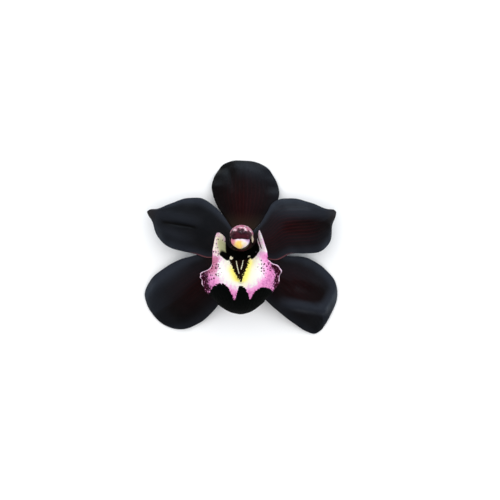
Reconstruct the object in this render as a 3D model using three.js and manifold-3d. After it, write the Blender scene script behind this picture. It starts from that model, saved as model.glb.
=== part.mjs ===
// A single cymbidium orchid bloom, picked from its spike and lying on its back with its face up.
//
// Millimetres. +Z comes up out of the flower's face, +Y runs along the dorsal sepal and +X is on the
// right-hand side of someone who looks into the face. The origin is under the middle of the flower, on the
// surface that it lies on. Three sepals lean on that surface with their tips, two petals spread above
// them, and the lip and the column stand up in the middle, on the end of the ovary.

import * as THREE from "three";
import { mergeVertices } from "three/addons/utils/BufferGeometryUtils.js";
import Module from "manifold-3d";

const wasm = await Module();
wasm.setup();

// ---- Driving dimensions ---------------------------------------------------------------------------------

const CLEARANCE = 0.3; // gap between two pieces that grow against each other

const OVARY_TOP = 9.5; // height of the ovary's top face, where every other piece is attached
const OVARY_RADIUS = 5.6; // of that top face
const OVARY_NECK_RADIUS = 3.1; // where the ovary bends over onto the surface
const STALK_RADIUS = 2.1; // at the cut end
const STALK_LENGTH = 27; // from the flower's centre to the cut end, along the surface
const STALK_SLANT = 1.8; // how far the cut end lies to the right of the flower's centre line
const OVARY_RIBS = 6;
const OVARY_RIB_DEPTH = 0.07; // as a share of the radius
const OVARY_TWIST = Math.PI * 0.9; // the half turn that every orchid ovary grows with

const SEPAL_THICKNESS = 1.3; // at the midrib
const PETAL_THICKNESS = 1.1;
const LIP_THICKNESS = 1.1;
const MARGIN_SHARE = 0.42; // a blade's thickness at its margin, as a share of that at its midrib
const CLAW_SHARE = 0.105; // half the width of a blade's narrow end, as a share of its breadth

const COLUMN_FOOT_RADIUS = 3.5;
const COLUMN_LENGTH = 21.5; // height of the column's hood above the ovary
const COLUMN_BREADTH = 11.4; // across the column's head
const CAP_WIDTH = 9.2; // of the anther cap
const CAP_HEIGHT = 8.2;
const CAP_DEPTH = 5.6;
const POLLINIUM_RADIUS = 1.15;
const STIGMA_WIDTH = 5.2; // of the hollow under the anther cap

const LIP_SPREAD = 39.5; // across the two frilled corners of the middle lobe
const LIP_REACH = 35.5; // from the flower's centre line to the lowest edge of the middle lobe
const LIP_HEIGHT = 19.9; // of the crest of the lip above the sepals' narrow ends
const LIP_MARGIN_GAP = 1.6; // between the column's head and the side lobes that stand beside it
const KEEL_HEIGHT = 1.3; // of the two ridges on the lip
const KEEL_WIDTH = 1.5;
const FRILL_HEIGHT = 1.1; // of the waves along the edge of the middle lobe
const FRILL_WAVES = 5.4; // on the whole length of the lip

// ---- Places that follow from those sizes ----------------------------------------------------------------

const SEAT = OVARY_TOP + CLEARANCE; // height of the sepals' narrow ends and of the column's foot
const CLAW_RADIUS = COLUMN_FOOT_RADIUS + 2.5 * CLEARANCE; // from the centre line to the blades' narrow ends
const PETAL_SEAT = SEAT + SEPAL_THICKNESS + 2 * CLEARANCE;
const LIP_SEAT = SEAT + SEPAL_THICKNESS + CLEARANCE;
const LIP_ROOT = COLUMN_FOOT_RADIUS + 2 * CLEARANCE + LIP_THICKNESS / 2; // from the centre line to its claw
const THROAT_HALF = COLUMN_BREADTH / 2 + LIP_MARGIN_GAP; // half the width between the side lobes

// ---- Shapes ---------------------------------------------------------------------------------------------

// The five blades. Each runs out from the flower's centre line in the direction of its heading, in degrees
// from +X. reach is the distance from the centre line to the tip, and breadth is the full width. left and
// right are the margins from the narrow end to just before the tip, as [share of reach, share of breadth];
// tip closes both. rise and fall shape the midrib: its height grows by rise and drops by fall times the
// share of the reach, squared. droop is how far each margin hangs below the midrib, [left, right], for
// half the breadth.
const SEPAL = { thickness: SEPAL_THICKNESS, seat: SEAT, rests: true };
const PETAL = { thickness: PETAL_THICKNESS, seat: PETAL_SEAT, rests: false };
const BLADES = {
  dorsal_sepal: {
    ...SEPAL,
    heading: 89,
    reach: 42.8,
    breadth: 34.4,
    rise: 2.4,
    fall: 11,
    droop: [2.2, 2.6],
    left: [
      [0.28, 0.25], [0.44, 0.385], [0.58, 0.455], [0.71, 0.47], [0.84, 0.42], [0.94, 0.335], [0.995, 0.2],
    ],
    right: [
      [0.26, -0.28], [0.4, -0.44], [0.54, -0.52], [0.67, -0.535],
      [0.81, -0.46], [0.92, -0.345], [0.985, -0.19],
    ],
    tip: [0.988, 0.01],
  },
  left_lateral_sepal: {
    ...SEPAL,
    heading: 219,
    reach: 59.4,
    breadth: 33.8,
    rise: 3.2,
    fall: 12.5,
    droop: [2.4, 1.8],
    left: [
      [0.22, 0.28], [0.4, 0.445], [0.56, 0.52], [0.7, 0.545], [0.83, 0.49], [0.93, 0.36], [0.985, 0.19],
    ],
    right: [
      [0.2, -0.185], [0.37, -0.3], [0.53, -0.42], [0.68, -0.46],
      [0.81, -0.45], [0.93, -0.355], [0.985, -0.19],
    ],
    tip: [1, 0.01],
  },
  right_lateral_sepal: {
    ...SEPAL,
    heading: -45,
    reach: 60.8,
    breadth: 32.9,
    rise: 3.2,
    fall: 12.5,
    droop: [2.6, 1.6],
    left: [
      [0.2, 0.18], [0.34, 0.35], [0.47, 0.585], [0.63, 0.63], [0.78, 0.6], [0.9, 0.44], [0.965, 0.18],
    ],
    right: [
      [0.22, -0.27], [0.38, -0.36], [0.53, -0.37], [0.68, -0.345],
      [0.81, -0.315], [0.92, -0.27], [0.985, -0.2],
    ],
    tip: [1, -0.075],
  },
  left_petal: {
    ...PETAL,
    heading: 161.3,
    reach: 51.4,
    breadth: 28.9,
    rise: 6.2,
    fall: 9.5,
    droop: [1.6, 1.9],
    left: [
      [0.15, 0.3], [0.27, 0.435], [0.41, 0.45], [0.56, 0.475], [0.7, 0.475], [0.83, 0.37], [0.93, 0.165],
    ],
    right: [
      [0.16, -0.21], [0.27, -0.36], [0.4, -0.475], [0.535, -0.52],
      [0.68, -0.435], [0.8, -0.255], [0.9, -0.085],
    ],
    tip: [1, 0.018],
  },
  right_petal: {
    ...PETAL,
    heading: 17,
    reach: 50.2,
    breadth: 31.8,
    rise: 6.2,
    fall: 9.5,
    droop: [3.2, 1.3],
    left: [
      [0.2, 0.18], [0.32, 0.345], [0.41, 0.475], [0.51, 0.5], [0.66, 0.435], [0.79, 0.28], [0.91, 0.12],
    ],
    right: [
      [0.14, -0.27], [0.27, -0.415], [0.43, -0.39], [0.57, -0.45],
      [0.72, -0.49], [0.85, -0.41], [0.94, -0.135],
    ],
    tip: [1, 0.003],
  },
};

// The lip is one sheet, given by ribs that cross it from its claw to its lowest edge. mid is the middle of
// the rib, as [y, z]. left and right hold its shoulder and its margin on each side, as [x, y, z]. x counts
// outwards from the side of the throat, as a share of the way to the frilled corner, y from the claw to
// the lowest edge, and z from the claw up to the crest.
const LIP_RIBS = {
  claw: {
    mid: [0, 0.01],
    left: { shoulder: [-0.44, -0.005, 0.02], margin: [-0.32, -0.015, 0.035] },
    right: { shoulder: [-0.44, -0.005, 0.02], margin: [-0.32, -0.015, 0.035] },
  },
  base: {
    mid: [0.03, 0.22],
    left: { shoulder: [-0.19, -0.005, 0.23], margin: [-0.06, -0.1, 0.28] },
    right: { shoulder: [-0.19, -0.005, 0.23], margin: [-0.06, -0.1, 0.28] },
  },
  throat: {
    mid: [0.105, 0.46],
    left: { shoulder: [-0.015, 0.05, 0.48], margin: [0, -0.15, 0.525] },
    right: { shoulder: [0.015, 0.04, 0.46], margin: [0.11, -0.23, 0.505] },
  },
  wings: {
    mid: [0.185, 0.7],
    left: { shoulder: [0.13, 0.045, 0.675], margin: [0.31, -0.315, 0.785] },
    right: { shoulder: [0.175, 0.025, 0.675], margin: [0.175, -0.355, 0.785] },
  },
  crest: {
    mid: [0.3, 0.89],
    left: { shoulder: [0.27, 0.12, 0.85], margin: [0.515, -0.045, 0.925] },
    right: { shoulder: [0.285, 0.105, 0.85], margin: [0.465, -0.035, 0.925] },
  },
  disc: {
    mid: [0.425, 1],
    left: { shoulder: [0.395, 0.28, 0.97], margin: [0.62, 0.175, 0.89] },
    right: { shoulder: [0.395, 0.265, 0.97], margin: [0.555, 0.14, 0.89] },
  },
  corner: {
    mid: [0.585, 0.985],
    left: { shoulder: [0.525, 0.465, 0.925], margin: [1.02, 0.33, 0.75] },
    right: { shoulder: [0.525, 0.45, 0.925], margin: [1.04, 0.295, 0.75] },
  },
  cheek: {
    mid: [0.76, 0.85],
    left: { shoulder: [0.335, 0.675, 0.785], margin: [0.85, 0.56, 0.665] },
    right: { shoulder: [0.335, 0.665, 0.785], margin: [0.84, 0.54, 0.665] },
  },
  chin: {
    mid: [0.91, 0.62],
    left: { shoulder: [-0.015, 0.87, 0.6], margin: [0.335, 0.83, 0.525] },
    right: { shoulder: [-0.015, 0.86, 0.6], margin: [0.38, 0.785, 0.525] },
  },
  hem: {
    mid: [1, 0.37],
    left: { shoulder: [-0.35, 0.985, 0.385], margin: [-0.19, 0.965, 0.405] },
    right: { shoulder: [-0.35, 0.985, 0.385], margin: [-0.19, 0.965, 0.405] },
  },
};
const LIP_OFFSET = -0.8; // the lip grows this far to the left of the flower's centre line

// The column is a stack of sections from its foot to its hood: y and z are the middle's place, as shares
// of the length, and half, back and front are half the width and the depth to each side, as shares of the
// foot's radius on the trunk and of the breadth on the head.
const COLUMN_TRUNK = [
  { y: 0, z: 0, half: 1, back: 0.95, front: 0.9 },
  { y: 0.03, z: 0.2, half: 1.02, back: 1, front: 0.82 },
];
const COLUMN_HEAD = [
  { y: 0.09, z: 0.45, half: 0.4, back: 0.4, front: 0.2 },
  { y: 0.145, z: 0.68, half: 0.53, back: 0.5, front: 0.18 },
  { y: 0.185, z: 0.84, half: 0.5, back: 0.46, front: 0.2 },
  { y: 0.13, z: 0.96, half: 0.43, back: 0.34, front: 0.17 },
  { y: 0.085, z: 1.02, half: 0.24, back: 0.17, front: 0.09 },
];
const COLUMN_OFFSET = -0.6;

// How finely each piece is cut into facets.
const BLADE_ROWS = 17;
const BLADE_COLUMNS = 11;
const LIP_ROWS = 34;
const LIP_COLUMNS = 26;
const COLUMN_ROWS = 15;
const COLUMN_SIDES = 22;
const STALK_ROWS = 20;
const STALK_SIDES = 24;
const CAP_SIDES = 20;
const POLLINIUM_SIDES = 10;

// ---- Helpers --------------------------------------------------------------------------------------------

const vec = (x, y, z) => new THREE.Vector3(x, y, z);
const curveThrough = (points) => new THREE.CatmullRomCurve3(points, false, "centripetal");
const smooth = (t) => THREE.MathUtils.smoothstep(t, 0, 1);

// A copy of a geometry with coinciding points merged and triangles that have no area left out.
function welded(geometry) {
  const bare = geometry.clone();
  bare.deleteAttribute("normal");
  bare.deleteAttribute("uv");
  const merged = mergeVertices(bare, 1e-3);
  const index = merged.index.array;
  const kept = [];
  for (let i = 0; i < index.length; i += 3) {
    const [a, b, c] = [index[i], index[i + 1], index[i + 2]];
    if (a !== b && b !== c && c !== a) kept.push(a, b, c);
  }
  merged.setIndex(kept);
  merged.computeVertexNormals();
  return merged;
}

function closedGeometry(points, triangles) {
  const loose = new THREE.BufferGeometry().setFromPoints(points);
  loose.setIndex(triangles);
  return welded(loose);
}

// A thin solid with the mid-surface surface(u, v), where u runs from the narrow end to the tip and v from
// the right margin to the left one. With pointed set, the last row is a single point.
function sheetSolid(surface, thickness, rows, columns, pointed) {
  const step = 0.01;
  const faceNormal = (u, v) => {
    const [a, b] = [THREE.MathUtils.clamp(u, step, 0.985), THREE.MathUtils.clamp(v, 0.03, 0.97)];
    const along = surface(a + step, b).sub(surface(a - step, b));
    const across = surface(a, b + step).sub(surface(a, b - step));
    return along.cross(across).normalize();
  };
  const front = [];
  const back = [];
  for (let i = 0; i <= rows; i++) {
    for (let j = 0; j <= columns; j++) {
      const u = i / rows;
      const v = pointed && i === rows ? 0.5 : j / columns;
      const offset = faceNormal(u, v).multiplyScalar(thickness(u, v) / 2);
      const middle = surface(u, v);
      front.push(middle.clone().add(offset));
      back.push(middle.clone().sub(offset));
    }
  }
  const width = columns + 1;
  const below = front.length;
  const triangles = [];
  const quad = (a, b, c, d) => triangles.push(a, b, c, a, c, d);
  for (let i = 0; i < rows; i++) {
    for (let j = 0; j < columns; j++) {
      const k = i * width + j;
      quad(k, k + width, k + width + 1, k + 1);
      quad(below + k, below + k + 1, below + k + width + 1, below + k + width);
    }
    const [right, left] = [i * width, i * width + columns];
    quad(right, below + right, below + right + width, right + width);
    quad(left, left + width, below + left + width, below + left);
  }
  for (let j = 0; j < columns; j++) {
    const end = rows * width + j;
    quad(j, j + 1, below + j + 1, below + j);
    quad(end, below + end, below + end + 1, end + 1);
  }
  return closedGeometry([...front, ...back], triangles);
}

// A closed solid through rings of points, each ring running the same way round and closed by a fan at each
// end.
function ringSolid(rings) {
  const sides = rings[0].length;
  const points = rings.flat();
  const triangles = [];
  const middle = (ring) => ring.reduce((sum, p) => sum.add(p), vec(0, 0, 0)).divideScalar(sides);
  const first = points.push(middle(rings[0])) - 1;
  const last = points.push(middle(rings.at(-1))) - 1;
  for (let i = 0; i < rings.length; i++) {
    for (let j = 0; j < sides; j++) {
      const [a, b] = [i * sides + j, i * sides + ((j + 1) % sides)];
      if (i === 0) triangles.push(first, b, a);
      if (i === rings.length - 1) triangles.push(last, a, b);
      else triangles.push(a, b, b + sides, a, b + sides, a + sides);
    }
  }
  return closedGeometry(points, triangles);
}

// An ellipsoid with the given half axes, turned about X by lean, at a place.
function ellipsoid(halfX, halfY, halfZ, place, lean, sides) {
  const ball = new THREE.SphereGeometry(1, sides, Math.round(sides / 2));
  ball.scale(halfX, halfY, halfZ);
  ball.rotateX(lean);
  ball.translate(place.x, place.y, place.z);
  return ball;
}

// The manifold-3d solid of a closed geometry.
function solidOf(geometry) {
  const merged = welded(geometry);
  const vertProperties = merged.attributes.position.array;
  const triVerts = new Uint32Array(merged.index.array);
  return new wasm.Manifold(new wasm.Mesh({ numProp: 3, vertProperties, triVerts }));
}

// The three.js geometry of a manifold-3d solid.
function geometryOf(solid) {
  const made = solid.getMesh();
  const geometry = new THREE.BufferGeometry();
  geometry.setAttribute("position", new THREE.BufferAttribute(new Float32Array(made.vertProperties), 3));
  geometry.setIndex(new THREE.BufferAttribute(new Uint32Array(made.triVerts), 1));
  geometry.computeVertexNormals();
  return geometry;
}

// ---- Sepals and petals ----------------------------------------------------------------------------------

// Height of a blade's mid-surface over the plan point (along, across), before it is brought down to rest.
function bladeHeight(blade, along, across) {
  const share = along / blade.reach;
  const out = across / (blade.breadth / 2);
  const droop = out > 0 ? blade.droop[0] : blade.droop[1];
  const grown = smooth(share / 0.35);
  return blade.rise * share - blade.fall * share * share - droop * out * out * grown;
}

// The mid-surface of a blade as surface(u, v). level is the height of its narrow end, and press multiplies
// how far the blade falls below that.
function bladeSurface(blade, level, press) {
  const claw = CLAW_RADIUS / blade.reach;
  const margin = (points, side) =>
    curveThrough(
      [[claw, side * CLAW_SHARE], ...points, blade.tip].map(([along, across]) =>
        vec(along * blade.reach, across * blade.breadth, 0),
      ),
    );
  const left = margin(blade.left, 1);
  const right = margin(blade.right, -1);
  const turn = THREE.MathUtils.degToRad(blade.heading);
  return (u, v) => {
    const plan = right.getPoint(u).lerp(left.getPoint(u), v);
    const height = bladeHeight(blade, plan.x, plan.y);
    const drop = height < 0 ? height * press : height;
    return vec(plan.x, plan.y, level + drop).applyAxisAngle(vec(0, 0, 1), turn);
  };
}

function bladeThickness(blade) {
  return (u, v) => {
    const edge = Math.max(Math.abs(2 * v - 1) ** 3, smooth((u - 0.8) / 0.2));
    return blade.thickness * (1 - (1 - MARGIN_SHARE) * edge);
  };
}

function lowestPoint(geometry) {
  geometry.computeBoundingBox();
  return geometry.boundingBox.min.z;
}

// A blade's geometry. A sepal leans on the surface: how far it falls is worked out so that its lowest
// point is there.
function bladeGeometry(blade) {
  const level = blade.seat + blade.thickness / 2;
  const build = (press) =>
    sheetSolid(bladeSurface(blade, level, press), bladeThickness(blade), BLADE_ROWS, BLADE_COLUMNS, true);
  let press = 1;
  let geometry = build(press);
  if (!blade.rests) return geometry;
  for (let round = 0; round < 6; round++) {
    press *= level / (level - lowestPoint(geometry));
    geometry = build(press);
  }
  return geometry;
}

// ---- Lip ------------------------------------------------------------------------------------------------

// One long curve down the lip for each of five places across it: the right margin and shoulder, the
// middle, and the left shoulder and margin.
function lipLines() {
  const line = (pick, side) =>
    curveThrough(
      Object.values(LIP_RIBS).map((rib) => {
        const [out, forward, up] = pick(rib);
        return vec(
          LIP_OFFSET + side * THREE.MathUtils.lerp(THROAT_HALF, LIP_SPREAD / 2, out),
          -THREE.MathUtils.lerp(LIP_ROOT, LIP_REACH, forward),
          LIP_SEAT + up * LIP_HEIGHT,
        );
      }),
    );
  return [
    line((rib) => rib.right.margin, 1),
    line((rib) => rib.right.shoulder, 1),
    line((rib) => [0, ...rib.mid], 0),
    line((rib) => rib.left.shoulder, -1),
    line((rib) => rib.left.margin, -1),
  ];
}

// How far the two keels stand up from the lip at (u, v): a pair of ridges that run together towards the
// disc.
function keelHeight(u, v) {
  const [start, end] = [0.12, 0.6];
  if (u < start || u > end) return 0;
  const share = (u - start) / (end - start);
  const apart = 0.13 - 0.115 * share;
  const width = KEEL_WIDTH / LIP_SPREAD;
  const ridge = (middle) => Math.exp(-(((v - middle) / width) ** 2));
  const ends = smooth(share / 0.2) * smooth((1 - share) / 0.25);
  return KEEL_HEIGHT * ends * Math.max(ridge(0.5 - apart), ridge(0.5 + apart));
}

// The frill of the middle lobe: the margin waves in and out of the sheet near the two corners.
function frillHeight(u, v) {
  const edge = Math.abs(2 * v - 1) ** 4;
  const near = smooth((u - 0.5) / 0.12) * smooth((0.92 - u) / 0.15);
  return FRILL_HEIGHT * edge * near * Math.sin(2 * Math.PI * FRILL_WAVES * u);
}

function lipGeometry() {
  const lines = lipLines();
  const bare = (u, v) => curveThrough(lines.map((line) => line.getPoint(u))).getPoint(v);
  const step = 0.01;
  const surface = (u, v) => {
    const [a, b] = [THREE.MathUtils.clamp(u, step, 1 - step), THREE.MathUtils.clamp(v, step, 1 - step)];
    const along = bare(a + step, b).sub(bare(a - step, b));
    const across = bare(a, b + step).sub(bare(a, b - step));
    // The inner side of the lip faces the column and, further out, the viewer.
    const inward = across.cross(along).normalize();
    return bare(u, v).add(inward.multiplyScalar(keelHeight(u, v) + frillHeight(u, v)));
  };
  const thickness = (u, v) => {
    const edge = Math.max(Math.abs(2 * v - 1) ** 3, smooth((u - 0.88) / 0.12));
    return LIP_THICKNESS * (1 - (1 - MARGIN_SHARE) * edge);
  };
  return sheetSolid(surface, thickness, LIP_ROWS, LIP_COLUMNS, false);
}

// ---- Column, anther cap and pollinia --------------------------------------------------------------------

const CAP_PLACE = vec(COLUMN_OFFSET - 0.3, 0.055 * COLUMN_LENGTH, SEAT + 0.985 * COLUMN_LENGTH);
const CAP_LEAN = THREE.MathUtils.degToRad(-28);
const POLLINIA_PLACE = CAP_PLACE.clone().add(vec(0, -CAP_HEIGHT * 0.12, -CAP_DEPTH * 0.42));

// The anther cap without its pocket, grown outwards by gap.
function capEnvelope(gap) {
  const [halfX, halfY, halfZ] = [CAP_WIDTH, CAP_HEIGHT, CAP_DEPTH].map((size) => size / 2 + gap);
  return solidOf(ellipsoid(halfX, halfY, halfZ, CAP_PLACE, CAP_LEAN, CAP_SIDES));
}

// Two pollinia side by side on the sticky pad that joins them, grown outwards by gap.
function pollinarium(gap) {
  const part = (halfX, halfY, halfZ, x, y) =>
    solidOf(
      ellipsoid(
        halfX * POLLINIUM_RADIUS + gap,
        halfY * POLLINIUM_RADIUS + gap,
        halfZ * POLLINIUM_RADIUS + gap,
        POLLINIA_PLACE.clone().add(vec(x * POLLINIUM_RADIUS, y * POLLINIUM_RADIUS, 0)),
        CAP_LEAN,
        POLLINIUM_SIDES,
      ),
    );
  const [right, left] = [part(1.05, 1.25, 1, 0.8, 0), part(1.05, 1.25, 1, -0.8, 0)];
  return right.add(left).add(part(1.5, 0.8, 0.7, 0, -0.95));
}

function columnRings() {
  const sized = (section, unit) => [section.half, section.back, section.front].map((share) => share * unit);
  const sections = [
    ...COLUMN_TRUNK.map((s) => ({ place: vec(0, s.y, s.z), size: vec(...sized(s, COLUMN_FOOT_RADIUS)) })),
    ...COLUMN_HEAD.map((s) => ({ place: vec(0, s.y, s.z), size: vec(...sized(s, COLUMN_BREADTH)) })),
  ];
  const spine = curveThrough(sections.map((s) => s.place.multiplyScalar(COLUMN_LENGTH)));
  const sizes = curveThrough(sections.map((s) => s.size));
  const rings = [];
  for (let i = 0; i <= COLUMN_ROWS; i++) {
    const t = i / COLUMN_ROWS;
    const middle = spine.getPoint(t);
    const tangent = i === 0 ? vec(0, 0, 1) : spine.getTangent(t);
    const toBack = vec(0, tangent.z, -tangent.y);
    const size = sizes.getPoint(t);
    const ring = [];
    for (let j = 0; j < COLUMN_SIDES; j++) {
      const angle = (2 * Math.PI * j) / COLUMN_SIDES;
      const depth = Math.sin(angle) > 0 ? size.y : size.z;
      ring.push(
        middle
          .clone()
          .add(vec(COLUMN_OFFSET * t + size.x * Math.cos(angle), 0, SEAT))
          .add(toBack.clone().multiplyScalar(depth * Math.sin(angle))),
      );
    }
    rings.push(ring);
  }
  return rings;
}

function columnGeometry() {
  const body = solidOf(ringSolid(columnRings()));
  const stigmaPlace = CAP_PLACE.clone().add(vec(0, -CAP_HEIGHT * 0.1, -CAP_DEPTH * 1.15));
  const [halfX, halfY, halfZ] = [0.5, 0.55, 0.62].map((share) => share * STIGMA_WIDTH);
  const hollow = solidOf(ellipsoid(halfX, halfY, halfZ, stigmaPlace, 0, CAP_SIDES));
  const seated = body.subtract(capEnvelope(CLEARANCE)).subtract(pollinarium(CLEARANCE));
  return geometryOf(seated.subtract(hollow));
}

function capGeometry() {
  return geometryOf(capEnvelope(0).subtract(pollinarium(CLEARANCE)));
}

// ---- Ovary and stalk ------------------------------------------------------------------------------------

// The ovary goes down from the flower's centre, bends over and lies along the surface as the stalk, up to
// the cut end.
function stalkGeometry() {
  const spine = curveThrough([
    vec(0, 0, OVARY_TOP),
    vec(0, -0.6, OVARY_TOP * 0.68),
    vec(0, -3.2, OVARY_NECK_RADIUS * 1.32),
    vec(0.1 * STALK_SLANT, -7.5, OVARY_NECK_RADIUS),
    vec(0.5 * STALK_SLANT, -0.62 * STALK_LENGTH, (OVARY_NECK_RADIUS + STALK_RADIUS) / 2),
    vec(STALK_SLANT, -STALK_LENGTH, STALK_RADIUS),
  ]);
  const rings = [];
  for (let i = 0; i <= STALK_ROWS; i++) {
    const t = i / STALK_ROWS;
    const middle = spine.getPoint(t);
    const tangent = i === 0 ? vec(0, 0, -1) : spine.getTangent(t);
    const side = vec(1, 0, 0).addScaledVector(tangent, -tangent.x).normalize();
    const other = tangent.clone().cross(side);
    const neck = THREE.MathUtils.lerp(OVARY_RADIUS, OVARY_NECK_RADIUS, smooth(t / 0.42));
    const tapered = THREE.MathUtils.lerp(OVARY_NECK_RADIUS, STALK_RADIUS, (t - 0.42) / 0.58);
    const radius = t < 0.42 ? neck : tapered;
    const ring = [];
    for (let j = 0; j < STALK_SIDES; j++) {
      const angle = (2 * Math.PI * j) / STALK_SIDES;
      const rib = 1 - OVARY_RIB_DEPTH * (0.5 + 0.5 * Math.cos(OVARY_RIBS * (angle - OVARY_TWIST * t)));
      const out = side.clone().multiplyScalar(Math.cos(angle)).addScaledVector(other, Math.sin(angle));
      ring.push(middle.clone().addScaledVector(out, radius * rib));
    }
    rings.push(ring);
  }
  return ringSolid(rings);
}

// ---- Assembly -------------------------------------------------------------------------------------------

const SKINS = {
  blade: { color: 0x1a1216, roughness: 0.5, metalness: 0 },
  lip: { color: 0xe7b6d6, roughness: 0.5, metalness: 0 },
  column: { color: 0x5a1a35, roughness: 0.45, metalness: 0 },
  cap: { color: 0xf0dcae, roughness: 0.45, metalness: 0 },
  pollen: { color: 0xe6b93a, roughness: 0.35, metalness: 0 },
  stalk: { color: 0x5d6b34, roughness: 0.55, metalness: 0 },
};

function piece(name, geometry, skin) {
  const mesh = new THREE.Mesh(geometry, new THREE.MeshStandardMaterial(SKINS[skin]));
  mesh.name = name;
  return mesh;
}

const flower = new THREE.Group();
flower.add(piece("ovary_and_stalk", stalkGeometry(), "stalk"));
for (const [name, blade] of Object.entries(BLADES)) flower.add(piece(name, bladeGeometry(blade), "blade"));
flower.add(piece("lip", lipGeometry(), "lip"));
flower.add(piece("column", columnGeometry(), "column"));
flower.add(piece("anther_cap", capGeometry(), "cap"));
flower.add(piece("pollinarium", geometryOf(pollinarium(0)), "pollen"));

// The origin goes under the middle of the whole bloom, at the height of the surface that it lies on.
const extent = new THREE.Box3().setFromObject(flower);
const middle = extent.getCenter(vec(0, 0, 0));
flower.position.set(-middle.x, -middle.y, -extent.min.z);

const bloom = new THREE.Group();
bloom.add(flower);

export default bloom;
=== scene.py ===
"""A single dark cymbidium bloom, picked and laid on its back with its face up.

Every piece is shaped here in millimetres in the flower's own coordinates: the centre line is X = Y = 0,
+Y runs along the dorsal sepal and +Z comes up out of the face. Each finished surface is then stretched
and shifted, by a hair, onto the box of the plain model's piece of the same name, and put in metres.
"""

import logging
import math
from dataclasses import dataclass, field
from enum import Enum
from functools import reduce
from typing import Callable, Iterable, Optional, Union

import bpy
import numpy as np
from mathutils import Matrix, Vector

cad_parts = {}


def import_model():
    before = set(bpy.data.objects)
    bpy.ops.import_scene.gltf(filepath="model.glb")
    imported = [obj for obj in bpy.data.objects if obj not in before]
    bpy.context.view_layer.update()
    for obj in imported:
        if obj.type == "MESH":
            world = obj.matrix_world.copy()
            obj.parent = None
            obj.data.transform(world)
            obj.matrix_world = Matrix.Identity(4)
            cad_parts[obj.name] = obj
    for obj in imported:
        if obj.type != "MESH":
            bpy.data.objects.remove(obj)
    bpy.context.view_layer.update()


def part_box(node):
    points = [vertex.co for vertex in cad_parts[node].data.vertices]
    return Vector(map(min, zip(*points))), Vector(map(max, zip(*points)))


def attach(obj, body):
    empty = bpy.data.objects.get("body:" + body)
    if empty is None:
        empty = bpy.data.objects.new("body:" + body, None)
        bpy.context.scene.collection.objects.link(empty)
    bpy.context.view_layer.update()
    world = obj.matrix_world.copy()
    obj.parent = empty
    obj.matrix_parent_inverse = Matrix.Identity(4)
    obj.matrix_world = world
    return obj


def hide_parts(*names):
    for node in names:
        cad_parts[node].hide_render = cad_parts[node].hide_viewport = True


log = logging.getLogger("orchid")

MM = 0.001
TURN = 2 * math.pi
TINY = 1e-12
BODY = "root"
FLOAT = "NodeSocketFloat"
COLOUR = "NodeSocketColor"
Colour = tuple[float, float, float]
Triple = tuple[float, float, float]
Pair = tuple[float, float]
Socket = bpy.types.NodeSocket
Feed = Union[Socket, float, tuple]


# ---- Curves and fields ----------------------------------------------------------------------------------

def smooth(t: np.ndarray) -> np.ndarray:
    """A soft step from 0 at t = 0 to 1 at t = 1."""
    t = np.clip(t, 0.0, 1.0)
    return t * t * (3.0 - 2.0 * t)


def rise(value: np.ndarray, low: float, high: float) -> np.ndarray:
    """A soft step of value from 0 at low to 1 at high, where low may be the larger."""
    return smooth((value - low) / (high - low))


def bell(value: np.ndarray, width: float) -> np.ndarray:
    """A bump that is 1 at 0 and falls off over width on both sides."""
    return np.exp(-(value / width) ** 2)


def wave(turns: np.ndarray) -> np.ndarray:
    """A sine wave that repeats at every whole number of turns."""
    return np.sin(TURN * turns)


def rounded(room: np.ndarray, width: float) -> np.ndarray:
    """A quarter circle's height, from 0 at an edge to 1 at a width inside it, over the room to the edge."""
    return np.sqrt(np.clip(1 - (1 - np.minimum(room / width, 1)) ** 2, 0, 1))


def crowded(count: int, push: float) -> np.ndarray:
    """Numbers from 0 to 1 that crowd towards both ends by a push between 0 and 1."""
    even = np.linspace(0.0, 1.0, count)
    return (1 - push) * even + push * (0.5 - 0.5 * np.cos(math.pi * even))


def unit(vectors: np.ndarray) -> np.ndarray:
    """Vectors brought to length 1."""
    return vectors / np.maximum(np.linalg.norm(vectors, axis=-1, keepdims=True), TINY)


def normals_of(points: np.ndarray) -> np.ndarray:
    """Unit normals of a grid of points: the rows' direction crossed with the columns'."""
    return unit(np.cross(np.gradient(points, axis=0), np.gradient(points, axis=1)))


def spline(knots: np.ndarray, t: np.ndarray) -> np.ndarray:
    """Points on the centripetal Catmull-Rom curve through some knots.

    Args:
        knots: Array whose first axis counts the knots and whose last holds their coordinates. Axes in
            between give one curve each.
        t: Places on the curve, 0 at the first knot and 1 at the last, evenly between knots.

    Returns:
        An array with t's axis first and the knots' other axes behind it.
    """
    def gap(a: np.ndarray, b: np.ndarray) -> np.ndarray:
        """The square root of the distance between points."""
        return np.maximum(np.sum((b - a) ** 2, axis=-1, keepdims=True), TINY) ** 0.25

    knots = np.asarray(knots, dtype=float)
    padded = np.concatenate([2 * knots[:1] - knots[1:2], knots, 2 * knots[-1:] - knots[-2:-1]])
    spans = len(knots) - 1
    first = np.minimum((np.asarray(t) * spans).astype(int), spans - 1)
    weight = (np.asarray(t) * spans - first).reshape((-1,) + (1,) * (knots.ndim - 1))
    p0, p1, p2, p3 = (padded[first + k] for k in range(4))
    d0, d1, d2 = gap(p0, p1), gap(p1, p2), gap(p2, p3)
    m1 = d1 * ((p1 - p0) / d0 - (p2 - p0) / (d0 + d1) + (p2 - p1) / d1)
    m2 = d1 * ((p2 - p1) / d1 - (p3 - p1) / (d1 + d2) + (p3 - p2) / d2)
    square, cube = weight ** 2, weight ** 3
    return (p1 * (2 * cube - 3 * square + 1) + m1 * (cube - 2 * square + weight)
            + p2 * (3 * square - 2 * cube) + m2 * (cube - square))


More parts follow.
